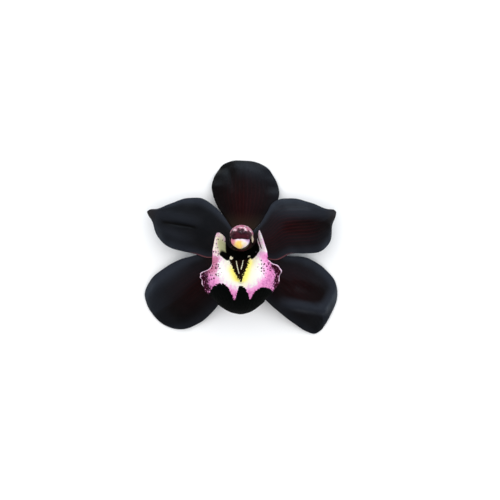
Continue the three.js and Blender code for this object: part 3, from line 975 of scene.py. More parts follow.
@dataclass(frozen=True)
class Blade:
    """One sepal or petal: its outline, how it hangs, its folds and how its colour is laid."""

    name: str
    kind: Kind
    heading: float
    reach: float
    breadth: float
    lift: float
    fall: float
    droop: Pair
    left: tuple
    right: tuple
    tip: Pair
    folds: tuple[Fold, ...] = ()
    warmth: float = 0.5
    ember: float = 0.0
    # How much painted sheen the left and the right margin get.
    painted_sheen: Pair = (0.5, 0.5)
    phase: float = 0.0
    # Which margin gets the painted lit edge: 1 the left, -1 the right, 0 none.
    lit_edge: int = 0
    rows: int = 132
    columns: int = 76
    last_row: float = 0.9985
    vein_count: float = 8.5
    vein_depth: float = 0.007
    groove_front: float = 0.16
    groove_back: float = 0.55

    @property
    def thickness(self) -> float:
        """Thickness at the midrib."""
        return BLOOM.sepal_thickness if self.kind is Kind.SEPAL else BLOOM.petal_thickness

    @property
    def level(self) -> float:
        """Height of the middle of the narrow end."""
        seat = BLOOM.seat if self.kind is Kind.SEPAL else BLOOM.seat + BLOOM.petal_rise
        return seat + self.thickness / 2

    def plan(self, u: np.ndarray, v: np.ndarray) -> np.ndarray:
        """The blade's outline filled in with a grid, along +X and flat.

        Args:
            u: Places from 0 to 1 down the blade.
            v: Places from 0 to 1 from its right margin to its left.

        Returns:
            The grid's points.
        """
        claw = BLOOM.claw_radius / self.reach

        def margin(points: tuple, side: int) -> np.ndarray:
            """Points down one margin."""
            knots = np.array([(claw, side * BLOOM.claw_share), *points, self.tip])
            return spline(np.pad(knots * (self.reach, self.breadth), ((0, 0), (0, 1))), u)

        left, right = margin(self.left, 1), margin(self.right, -1)
        return right[:, None] + (left - right)[:, None] * v[None, :, None]

    def heights(self, plan: np.ndarray) -> np.ndarray:
        """How high the middle of the blade runs, before its folds.

        Args:
            plan: The blade's grid.

        Returns:
            The height at each point, pressed so that the lowest rests on the surface.
        """
        share = plan[..., 0] / self.reach
        out = plan[..., 1] / (self.breadth / 2)
        droop = np.where(out > 0, self.droop[0], self.droop[1])
        height = self.lift * share - self.fall * share ** 2 - droop * out ** 2 * smooth(share / 0.35)
        if self.kind is Kind.PETAL:
            return height
        margin = self.thickness * BLOOM.margin_share / 2
        press = (self.level - margin) / -height.min()
        return np.where(height < 0, height * press, height)

    def creases(self, plan: np.ndarray) -> np.ndarray:
        """The height of the folds alone.

        Args:
            plan: The blade's grid.

        Returns:
            The height at each point in millimetres.
        """
        total = np.zeros(plan.shape[:2])
        scale = np.array([self.reach, self.breadth])
        for fold in self.folds:
            line = [tuple(np.array(end) * scale) for end in (fold.start, fold.end)]
            distance, passed = stroke(plan[..., 0], plan[..., 1], line)
            swell = np.sin(math.pi * (0.12 + 0.76 * passed)) ** 0.7
            total += fold.height * bell(distance, fold.width) * swell
        return total

    def relief(self, plan: np.ndarray, side: np.ndarray) -> np.ndarray:
        """Folds and soft waves of the whole blade, along its normal.

        Args:
            plan: The blade's grid.
            side: Places from -1 at the right margin to 1 at the left.

        Returns:
            The height at each point in millimetres.
        """
        share = plan[..., 0] / self.reach
        hand = np.sign(side)
        open_out = rise(share, 0.3, 0.55) * rise(share, 1.0, 0.9)
        margin = (0.42 * wave(2.6 * share + 0.31 * hand + self.phase)
                  + 0.16 * wave(6.3 * share - 0.22 * hand + 2 * self.phase))
        broad = 0.22 * wave(1.15 * share + 0.45 * side + self.phase)
        return self.creases(plan) + open_out * (rise(np.abs(side), 0.45, 1.0) * margin + broad)

    def paint(self, plan: np.ndarray, side: np.ndarray) -> dict[str, tuple]:
        """Fields over the blade, the same on both faces but for the one that tells them apart.

        Args:
            plan: The blade's grid.
            side: Places from -1 at the right margin to 1 at the left.

        Returns:
            For each name, the field on the front and on the back.
        """
        share = plan[..., 0] / self.reach
        # Painted sheen: a bluish highlight on the margins, the tips and the tops of ridges, less in creases,
        # more on the side that faces a light.
        hand = np.where(side > 0, self.painted_sheen[0], self.painted_sheen[1])
        rim = rise(np.abs(side), 0.62, 0.99) + 0.18 + 0.3 * rise(share, 0.72, 1.0)
        ridge_sheen = np.clip(0.6 * self.creases(plan), -0.4, 0.8)
        centre = bell(side, 0.62) * rise(share, 1.0, 0.45)
        # Browner towards the narrow end on sepals; on petals, a little lighter and browner towards the tip.
        bare, tip_pale = (0.45, 0.0) if self.kind is Kind.SEPAL else (0.04, 0.2)
        fields = {
            "across": (side + 1) / 2,
            "warm": self.warmth * centre,
            "ember": self.ember * centre,
            "painted_sheen": np.clip(rim * hand + ridge_sheen, 0, 1),
            "claw": bare * rise(share, 0.40, 0.1) + tip_pale * rise(share, 0.86, 1.0),
            # Painted highlight along one margin near the narrow end.
            "lit_edge": rise(side * self.lit_edge, 0.93, 0.99) * rise(share, 0.5, 0.3),
        }
        return {"face": (1.0, 0.0), **{name: (value, value) for name, value in fields.items()}}

    def build(self, material: bpy.types.Material) -> bpy.types.Object:
        """Shape the blade and tie it to the frame.

        Args:
            material: The skin of its kind.

        Returns:
            The finished piece.
        """
        def steady(points: np.ndarray) -> np.ndarray:
            """Normals that don't flicker where the rows crowd into the tip.

            Args:
                points: A grid of points.

            Returns:
                Their unit normals.
            """
            normals = normals_of(points)
            normals[-4:] = normals[-5]
            return normals

        u = self.last_row * (1 - (1 - np.linspace(0.0, 1.0, self.rows)) ** 1.2)
        v = crowded(self.columns, 0.6)
        plan = self.plan(u, v)
        side = np.broadcast_to(2 * v - 1, plan.shape[:2])
        length = np.broadcast_to(u[:, None], plan.shape[:2])
        turn = math.radians(self.heading)
        cos, sin = math.cos(turn), math.sin(turn)
        middle = np.dstack([plan[..., 0], plan[..., 1], self.level + self.heights(plan)])
        middle = middle @ np.array([[cos, sin, 0], [-sin, cos, 0], [0, 0, 1]])
        half = thinned(self.thickness, side, length, 0.8) / 2
        normals = steady(middle)
        berth = Berth.over(self.name, np.stack(walls(middle, normals, half, half)))

        folded = middle + normals * self.relief(plan, side)[..., None]
        inside = (np.sqrt(np.clip(1 - np.abs(side) ** 14, 0, 1)) * rounded(length, 0.02)
                  * rounded(self.last_row - length, 0.0235))
        veins = (self.vein_depth * np.cos(TURN * self.vein_count * side) * rise(np.abs(side), 1.0, 0.8)
                 * rise(length, 0.98, 0.7))
        groove = (bell(plan[..., 1] - 0.01 * self.breadth, 0.75) * rise(length, 0.97, 0.5)
                  * rise(length, 0.0, 0.2))
        front, back = walls(folded, steady(folded), inside * (half + veins - self.groove_front * groove),
                            inside * (half + self.groove_back * groove - veins))
        piece = mesh_object(f"{self.name}_skin", sheet_skin(front, back, self.paint(plan, side)), berth)
        dress(piece, material, self.name)
        return piece


@dataclass(frozen=True)
class Tepals:
    """The five outer blades. Margins run from the narrow end to the tip, as shares of reach and breadth."""

    dorsal: Blade = Blade(
        "dorsal_sepal", Kind.SEPAL, 89, 42.8, 34.4, 2.4, 11, (2.2, 2.6),
        ((0.28, 0.25), (0.44, 0.385), (0.58, 0.455), (0.71, 0.47), (0.84, 0.42), (0.94, 0.335), (0.995, 0.2)),
        ((0.26, -0.28), (0.4, -0.44), (0.54, -0.52), (0.67, -0.535), (0.81, -0.46), (0.92, -0.345),
         (0.985, -0.19)),
        (0.988, 0.01),
        folds=(Fold((0.80, -0.42), (0.9, 0.1), 0.45, 4.0), Fold((0.66, 0.16), (0.98, 0.24), -0.6, 2.4)),
        warmth=1.0, ember=0.24, painted_sheen=(0.0, 0.2), phase=0.15)
    left_lateral: Blade = Blade(
        "left_lateral_sepal", Kind.SEPAL, 219, 59.4, 33.8, 3.2, 12.5, (2.4, 1.8),
        ((0.22, 0.28), (0.4, 0.445), (0.56, 0.52), (0.7, 0.545), (0.83, 0.49), (0.93, 0.36), (0.985, 0.19)),
        ((0.2, -0.185), (0.37, -0.3), (0.53, -0.42), (0.68, -0.46), (0.81, -0.45), (0.93, -0.355),
         (0.985, -0.19)),
        (1.0, 0.01),
        folds=(Fold((0.5, -0.30), (0.95, -0.34), 0.8, 3.2), Fold((0.35, 0.1), (0.8, 0.16), -0.5, 4.0)),
        warmth=0.7, ember=0.14, painted_sheen=(0.3, 0.9), phase=0.55)
    right_lateral: Blade = Blade(
        "right_lateral_sepal", Kind.SEPAL, -45, 60.8, 32.9, 3.2, 12.5, (2.6, 1.6),
        ((0.2, 0.18), (0.34, 0.355), (0.47, 0.55), (0.63, 0.635), (0.78, 0.605), (0.9, 0.44), (0.965, 0.18)),
        ((0.22, -0.27), (0.38, -0.36), (0.53, -0.37), (0.68, -0.345), (0.81, -0.315), (0.92, -0.27),
         (0.985, -0.2)),
        (1.0, -0.075),
        folds=(Fold((0.60, -0.20), (0.88, 0.15), 1.8, 2.5), Fold((0.88, 0.15), (0.83, 0.48), 1.4, 2.5),
               Fold((0.58, 0.08), (0.79, 0.28), -1.4, 4.0)),
        warmth=0.9, ember=0.12, painted_sheen=(1.0, 0.25), phase=0.8)
    left_petal: Blade = Blade(
        "left_petal", Kind.PETAL, 161.3, 51.4, 28.9, 6.2, 9.5, (1.6, 1.9),
        ((0.15, 0.3), (0.27, 0.435), (0.41, 0.45), (0.56, 0.475), (0.7, 0.475), (0.83, 0.36), (0.92, 0.14),
         (0.974, 0.066)),
        ((0.16, -0.21), (0.27, -0.36), (0.4, -0.475), (0.535, -0.52), (0.68, -0.435), (0.8, -0.262),
         (0.9, -0.108), (0.98, -0.042)),
        (1.0, 0.012),
        folds=(Fold((0.50, 0.01), (0.80, 0.095), -0.75, 1.1), Fold((0.52, 0.25), (0.84, 0.23), 0.6, 3.0),
               Fold((0.50, -0.10), (0.86, -0.02), 0.55, 2.6)),
        warmth=0.0, ember=0.0, painted_sheen=(0.7, 1.0), phase=0.35, lit_edge=1)
    right_petal: Blade = Blade(
        "right_petal", Kind.PETAL, 17, 50.2, 31.8, 6.2, 9.5, (3.2, 1.3),
        ((0.2, 0.18), (0.32, 0.345), (0.41, 0.475), (0.51, 0.5), (0.66, 0.435), (0.79, 0.29), (0.91, 0.135),
         (0.98, 0.092)),
        ((0.14, -0.27), (0.27, -0.415), (0.43, -0.39), (0.57, -0.45), (0.72, -0.49), (0.85, -0.39),
         (0.925, -0.14), (0.977, -0.03)),
        (1.0, 0.045),
        folds=(Fold((0.42, 0.30), (0.95, 0.06), 0.9, 2.8), Fold((0.5, 0.05), (0.9, -0.12), -0.6, 3.4)),
        warmth=0.9, ember=0.42, painted_sheen=(1.0, 0.6), phase=0.7, lit_edge=-1)

    def build(self, effects: Effects) -> None:
        """Shape and dress all five blades.

        Args:
            effects: The shared shader groups.
        """
        sepal = TepalFinish("sepal_skin").build(effects)
        petal = TepalFinish("petal_skin", ember=(0.040, 0.0036, 0.0044)).build(effects)
        for blade in (self.dorsal, self.left_lateral, self.right_lateral, self.left_petal, self.right_petal):
            blade.build(sepal if blade.kind is Kind.SEPAL else petal)


# ---- Lip ------------------------------------------------------------------------------------------------

@dataclass(frozen=True)
class Rib:
    """One rib across the lip.

    mid is [y, z]; each shoulder and margin is [x, y, z]. x counts outwards from the side of the throat to
    the frilled corner, y from the claw to the lowest edge and z from the claw to the crest, as shares.
    """

    mid: Pair
    left_shoulder: Triple
    left_margin: Triple
    right_shoulder: Triple
    right_margin: Triple


@dataclass(frozen=True)
class Lobe:
    """One bump of the lip's black band: its middle, its half width to each side and its height."""

    middle: float
    left: float
    right: float
    height: float


@dataclass(frozen=True)
class Lip:
    """The lip: one sheet that cups the column, spreads into a disc and hangs down in front."""

    ribs: tuple[Rib, ...] = (
        Rib((0, 0.01), (-0.44, -0.005, 0.02), (-0.32, -0.015, 0.035), (-0.44, -0.005, 0.02),
            (-0.32, -0.015, 0.035)),
        Rib((0.03, 0.22), (-0.19, -0.005, 0.23), (-0.06, -0.1, 0.28), (-0.19, -0.005, 0.23),
            (-0.06, -0.1, 0.28)),
        Rib((0.105, 0.46), (-0.015, 0.05, 0.48), (0.05, -0.25, 0.56), (0.015, 0.04, 0.46),
            (0.11, -0.23, 0.505)),
        Rib((0.185, 0.7), (0.13, 0.045, 0.675), (0.345, -0.315, 0.785), (0.175, 0.025, 0.675),
            (0.175, -0.355, 0.785)),
        Rib((0.3, 0.89), (0.27, 0.12, 0.85), (0.515, -0.045, 0.925), (0.285, 0.105, 0.85),
            (0.465, -0.035, 0.925)),
        Rib((0.425, 1), (0.395, 0.28, 0.97), (0.60, 0.25, 0.90), (0.395, 0.265, 0.97), (0.555, 0.14, 0.89)),
        Rib((0.585, 0.985), (0.525, 0.465, 0.925), (1.02, 0.375, 0.75), (0.525, 0.45, 0.925),
            (1.04, 0.295, 0.75)),
        Rib((0.76, 0.85), (0.335, 0.675, 0.785), (0.85, 0.56, 0.665), (0.335, 0.665, 0.785),
            (0.84, 0.54, 0.665)),
        Rib((0.91, 0.62), (-0.015, 0.87, 0.6), (0.335, 0.83, 0.525), (-0.015, 0.86, 0.6),
            (0.38, 0.785, 0.525)),
        Rib((1, 0.37), (-0.35, 0.985, 0.385), (-0.19, 0.965, 0.405), (-0.35, 0.985, 0.385),
            (-0.19, 0.965, 0.405)),
    )
    arms: tuple = (
        ((-6.0, -8.6), (-4.5, -12.6), (-2.7, -16.2), (-0.5, -18.8)),
        ((3.8, -7.6), (2.3, -11.6), (0.9, -15.6), (-0.5, -18.8)),
    )
    keels: tuple = (
        ((-3.0, -9.6), (-2.4, -12.4), (-1.5, -15.6)),
        ((0.6, -9.3), (0.2, -11.4), (-0.4, -13.4)),
    )
    lobes: tuple[Lobe, ...] = (
        Lobe(-10.6, 6.8, 6.5, 7.8), Lobe(-0.5, 2.7, 4.2, 6.5), Lobe(10.8, 6.5, 6.6, 6.0))
    band_floor: float = -27.5
    stripe: tuple = ((7.7, 4.8), (8.9, 0.9), (10.1, -2.6))
    mouth: tuple = ((-12.5, -5.2), (-9.5, -8.0), (-7.3, -9.5), (-6.2, -9.3), (4.0, -8.6), (5.2, -8.9),
                    (7.6, -6.6), (9.4, -3.6))
    right_edge: tuple = ((-4.4, 9.1), (-2.0, 9.2), (0.6, 8.1), (5.3, 7.2))
    frill_left: tuple = ((-24, -15.4), (-19, -16.6), (-15, -17.0), (-12.5, -17.6))
    frill_right: tuple = ((-24, 14.6), (-20, 15.2), (-16, 15.9), (-12, 14.6), (-10, 13.6))
    patches: tuple = ((-15.2, -15.2, 2.3, 1.2), (-12.3, -15.8, 1.5, 0.8), (-13.6, -11.2, 2.6, 0.8),
                      (12.4, -12.0, 3.2, 1.5), (8.3, -12.9, 1.0, 0.6), (9.0, -15.5, 1.2, 0.4))
    rows: int = 214
    columns: int = 168

    def sheet(self, u: np.ndarray, v: np.ndarray) -> np.ndarray:
        """The middle of the lip.

        Args:
            u: Places from 0 to 1 down the lip.
            v: Places from 0 to 1 from its left margin to its right.

        Returns:
            A grid of points, with a row for each u and a column for each v.
        """
        def line(pick: Callable[[Rib], tuple], side: int) -> np.ndarray:
            """One long curve down the lip.

            Args:
                pick: Takes the curve's knot from a rib.
                side: -1 on the left, 0 in the middle, 1 on the right.

            Returns:
                The curve's points.
            """
            out, forward, up = np.array([pick(rib) for rib in self.ribs]).T
            x = BLOOM.lip_offset + side * (BLOOM.throat_half + out * (BLOOM.lip_half - BLOOM.throat_half))
            y = -(BLOOM.lip_root + forward * (BLOOM.lip_reach - BLOOM.lip_root))
            z = BLOOM.seat + BLOOM.lip_rise + up * BLOOM.lip_height
            return spline(np.stack([x, y, z], axis=1), u)

        lines = [
            line(lambda rib: rib.left_margin, -1),
            line(lambda rib: rib.left_shoulder, -1),
            line(lambda rib: (0, *rib.mid), 0),
            line(lambda rib: rib.right_shoulder, 1),
            line(lambda rib: rib.right_margin, 1),
        ]
        return spline(np.stack(lines), v).transpose(1, 0, 2)

    def frill(self, u: np.ndarray, side: np.ndarray) -> np.ndarray:
        """The wave of the middle lobe's margin, coarse and then crisp.

        Args:
            u: Places from 0 to 1 down the lip.
            side: Places from -1 at the left margin to 1 at the right.

        Returns:
            The height at each place in millimetres.
        """
        reach = np.abs(side)
        coarse = 1.1 * reach ** 4 * rise(u, 0.5, 0.62) * rise(u, 0.92, 0.77) * wave(5.4 * u)
        wander = 1.3 * wave(3.1 * u + side / TURN) / TURN
        crisp = 0.42 * reach ** 12 * rise(u, 0.40, 0.50) * rise(u, 0.97, 0.89) * wave(15.0 * u + wander)
        return coarse + crisp

    def corners(self, u: np.ndarray, side: np.ndarray) -> np.ndarray:
        """The cupped corners of the middle lobe: a hollow with a turned-up rim."""
        reach = np.abs(side)
        return bell(u - 0.645, 0.085) * (1.3 * rise(reach, 0.90, 1.0) - bell(reach - 0.84, 0.07))

    def band_edge(self, x: np.ndarray) -> np.ndarray:
        """Where the black band starts, as y over x.

        Args:
            x: Places across the lip.

        Returns:
            The band's upper edge at each.
        """
        top = np.full(np.shape(x), self.band_floor)
        for lobe in self.lobes:
            half = np.where(x < lobe.middle, lobe.left, lobe.right)
            bump = 1 - np.abs((x - lobe.middle) / half) ** 2.4
            top = np.maximum(top, self.band_floor + lobe.height * np.clip(bump, 0, 1))
        return top

    def paint(self, middle: np.ndarray, u: np.ndarray, side: np.ndarray) -> dict[str, np.ndarray]:
        """Fields over the inner face.

        Args:
            middle: Points of the lip's middle.
            u: Places from 0 to 1 down the lip.
            side: Places from -1 at the left margin to 1 at the right.

        Returns:
            For each name, the field's value at each point.
        """
        def follow(where: np.ndarray, knots: Iterable[Pair]) -> np.ndarray:
            """A bent line's second coordinate over its first."""
            return np.interp(where, *zip(*sorted(knots)))

        x, y = middle[..., 0], middle[..., 1]
        reach = np.abs(side)
        on_left, on_right = (side < 0), (side > 0)
        inner = rise(reach, 0.6, 0.5)
        disc = rise(u, 0.25, 0.32)

        left, right = (stroke(x, y, arm)[0] for arm in self.arms)
        beside = np.minimum(left, right)
        low = self.arms[0][-1][1]
        arm = follow(y, ((low, 0.35), (-8.0, 1.15))) - beside
        across = [follow(y, [(b, a) for a, b in line]) for line in self.arms]
        inside = np.minimum(np.minimum(x - across[0], across[1] - x), y - low)
        lines = np.minimum(*(stroke(x, y, keel)[0] for keel in self.keels))
        knobs = np.minimum(*(np.hypot(x - a[0][0], y - a[0][1] + 0.1) for a in self.arms))

        # Painted shade: black behind the mouth of the throat, on the inner wall near the claw, and on the
        # strip beside the right side lobe.
        shade = rise(y - follow(x, self.mouth), -0.35, 0.45) * rise(reach, 0.72, 0.52)
        right_lobe_shade = rise(follow(y, self.right_edge) - x, -0.25, 0.25) * rise(y, -4.8, -4.2) * on_right
        throat = np.maximum(np.maximum(shade, rise(u, 0.25, 0.19)), right_lobe_shade)

        wall = rise(reach, 0.5, 0.62) * rise(u, 0.40, 0.35)
        green = wall * on_left * rise(reach, 0.93, 0.80)
        strip = wall * on_left * rise(reach, 0.80, 0.93)
        left_lobe = rise(y, -8.0, -5.0) * (x < -6)
        right_lobe = rise(y, -6.5, -3.5) * (x > 5)
        ring = np.hypot((x + 0.3) / np.where(x < 0, 14.6, 12.8), (y + 14.0) / np.where(y < -14, 9.6, 15.0))
        pink = rise(ring, 0.60, 1.18) * 1.35 + 0.25 * rise(reach, 0.9, 1.0)
        pink = pink * (1 - 0.75 * left_lobe - 0.75 * right_lobe)

        ripe = np.where(x < across[0] + 1.5, rise(y, -10.0, -14.8), rise(y, -6.5, -11.0))
        ripe = 0.15 + 0.85 * ripe * rise(y, -20.4, -18.2)
        creamy = np.where(x < -0.5, 0.45, 0.95) * bell(beside - 1.0, 4.6) * disc
        speckle = sum(share * bell(np.hypot(x - at_x, y - at_y), width)
                      for at_x, at_y, width, share in self.patches)

        dark = np.maximum(follow(y, self.frill_left) - x, x - follow(y, self.frill_right))
        out_here = rise(u, 0.50, 0.54)
        lasts = np.where(on_left, rise(y, -23.0, -21.4), rise(y, -20.2, -18.6))
        away = -9.0
        return {
            "band": self.band_edge(x) - y,
            "callus": np.where(inner * rise(u, 0.18, 0.22) > 0.5, np.maximum(arm, inside), away),
            "keel": inner * np.maximum(rise(lines, 0.30, 0.12), rise(knobs, 1.15, 0.65)),
            "throat": throat,
            "yellow": bell(beside - 1.0, 2.1) * ripe * inner * disc,
            "pink": pink * (1 - 0.75 * green),
            "rose": rise(x, -10.0, -13.0) * rise(y, -18.0, -13.0) * (1 - 0.45 * left_lobe),
            "olive": green,
            "cream": np.clip(creamy + 0.8 * strip + 0.85 * left_lobe, 0, 1),
            "stripe": bell(stroke(x, y, self.stripe)[0], 0.32) * on_right * rise(u, 0.44, 0.38),
            "freckle": np.clip(0.75 * speckle + 0.5 * left_lobe * (1 - green), 0, 0.9),
            "frill": np.where(out_here > 0.02, dark, away),
            "rim": rise(reach, 0.955, 0.985) * out_here * lasts,
            "papilla": rise(arm, -1.1, 0.2) * inner * rise(u, 0.27, 0.31),
        }

    def build(self, effects: Effects) -> bpy.types.Object:
        """Shape and dress the lip.

        Args:
            effects: The shared shader groups.

        Returns:
            The finished piece.
        """
        u, v = crowded(self.rows, 0.25), crowded(self.columns, 0.35)
        base = self.sheet(u, v)
        length = np.broadcast_to(u[:, None], base.shape[:2])
        side = np.broadcast_to(2 * v - 1, base.shape[:2])
        half = thinned(BLOOM.lip_thickness, side, length, 0.88) / 2
        normals = normals_of(base)
        waved = base + normals * self.frill(length, side)[..., None]
        berth = Berth.over("lip", np.stack(walls(waved, normals, half, half)))

        middle = waved + normals * self.corners(length, side)[..., None]
        fields = self.paint(middle, length, side)
        inside = (np.sqrt(np.clip(1 - np.abs(side) ** 16, 0, 1)) * rounded(length, 0.015)
                  * rounded(1 - length, 0.02))
        knobbly = 1 + 0.25 * wave(middle[..., 1] / 1.1) * wave(middle[..., 0] / 1.7)
        keels = 1.05 * np.clip(fields["papilla"], 0, 1) * knobbly + 0.35 * fields["keel"]
        veins = 0.03 * np.cos(TURN * 13 * side) * rise(np.abs(side), 1.0, 0.9)
        plump = 0.45 * rise(fields["band"], -0.3, 1.6)
        front, back = walls(middle, normals_of(middle), inside * (half + keels + veins + plump),
                            inside * (half - veins))
        painted = {name: (value, value) for name, value in fields.items()}
        painted.update(face=(1.0, 0.0), across=((side + 1) / 2,) * 2, papilla=(fields["papilla"], 0.0))
        material = LipFinish().build(effects)
        piece = mesh_object("lip_skin", sheet_skin(front, back, painted), berth)
        dress(piece, material, "lip")
        Papillae().build(piece, material)
        return piece


# ---- Geometry node trees --------------------------------------------------------------------------------

class Rig(Desk):
    """A geometry node tree with named inputs, whose result is taken as a plain mesh."""

    def __init__(self, name: str, inputs: dict[str, tuple[str, object]]) -> None:
        """Start a tree.

        Args:
            name: The tree's name.
            inputs: For each named input, its socket type and value.
        """
        super().__init__(bpy.data.node_groups.new(name, "GeometryNodeTree"))
        for way in ("INPUT", "OUTPUT"):
            self.tree.interface.new_socket("Geometry", in_out=way, socket_type="NodeSocketGeometry")
        self.values = {}
        for label, (kind, value) in inputs.items():
            socket = self.tree.interface.new_socket(label, in_out="INPUT", socket_type=kind)
            self.values[socket.identifier] = value
        self.given = self.node("NodeGroupInput").outputs

    def named(self, label: str) -> Socket:
        """A field that the host's mesh carries."""
        return self.node("GeometryNodeInputNamedAttribute", {"Name": label}, data_type="FLOAT").outputs[0]

    def close(self, geometry: Socket) -> None:
        """End the tree in real geometry with its material.

        Args:
            geometry: The geometry so far.
        """
        real = self.node("GeometryNodeRealizeInstances", {"Geometry": geometry})
        smoothed = self.node("GeometryNodeSetShadeSmooth", {0: real.outputs[0]})
        done = self.node("GeometryNodeSetMaterial",
                         {"Geometry": smoothed.outputs[0], "Material": self.given["Material"]})
        self.node("NodeGroupOutput", {0: done.outputs[0]})

    def harvest(self, host: bpy.types.Object, name: str) -> bpy.types.Object:
        """The tree's result on a host object, as a new plain object.

        Args:
            host: Object whose mesh goes into the tree.
            name: The new piece's name.

        Returns:
            The new object.
        """
        modifier = host.modifiers.new("rig", "NODES")
        modifier.node_group = self.tree
        for identifier, value in self.values.items():
            modifier[identifier] = value
        graph = bpy.context.evaluated_depsgraph_get()
        mesh = bpy.data.meshes.new_from_object(host.evaluated_get(graph))
        host.modifiers.remove(modifier)
        mesh.name = name
        return new_object(name, mesh)


@dataclass(frozen=True)
class Papillae:
    """The mealy grains that cover the two ridges of the lip."""

    radius: float = 0.17
    per_square_metre: float = 6.0e6
    seed: int = 11

    def build(self, lip: bpy.types.Object, material: bpy.types.Material) -> None:
        """Scatter the grains over the lip's painted ridges.

        Args:
            lip: The finished lip.
            material: The lip's material.
        """
        rig = Rig("lip_papillae", {
            "Radius": ("NodeSocketFloat", self.radius * MM),
            "Density": ("NodeSocketFloat", self.per_square_metre),
            "Seed": ("NodeSocketInt", self.seed),
            "Material": ("NodeSocketMaterial", material),
        })
        density = rig.times(rig.named("papilla"), rig.given["Density"])
        spread = rig.node("GeometryNodeDistributePointsOnFaces", {
            "Mesh": rig.given["Geometry"], "Density": density, "Seed": rig.given["Seed"]})
        grain = rig.node("GeometryNodeMeshIcoSphere", {"Radius": rig.given["Radius"], "Subdivisions": 1})
        size = rig.node("FunctionNodeRandomValue", {2: 0.5, 3: 1.25, "Seed": rig.given["Seed"]},
                        data_type="FLOAT")
        placed = rig.node("GeometryNodeInstanceOnPoints", {
            "Points": spread.outputs[0], "Instance": grain.outputs[0], "Rotation": spread.outputs[2],
            "Scale": size.outputs[1]})
        rig.close(placed.outputs[0])
        dress(rig.harvest(lip, "lip_papillae"), material)


# ---- Column, anther cap and pollinia --------------------------------------------------------------------

@dataclass(frozen=True)
class Section:
    """One section of the column: its middle over the foot, its half width, depths and side ridges."""

    y: float
    z: float
    half: float
    back: float
    front: float
    ridge: float = 0.0


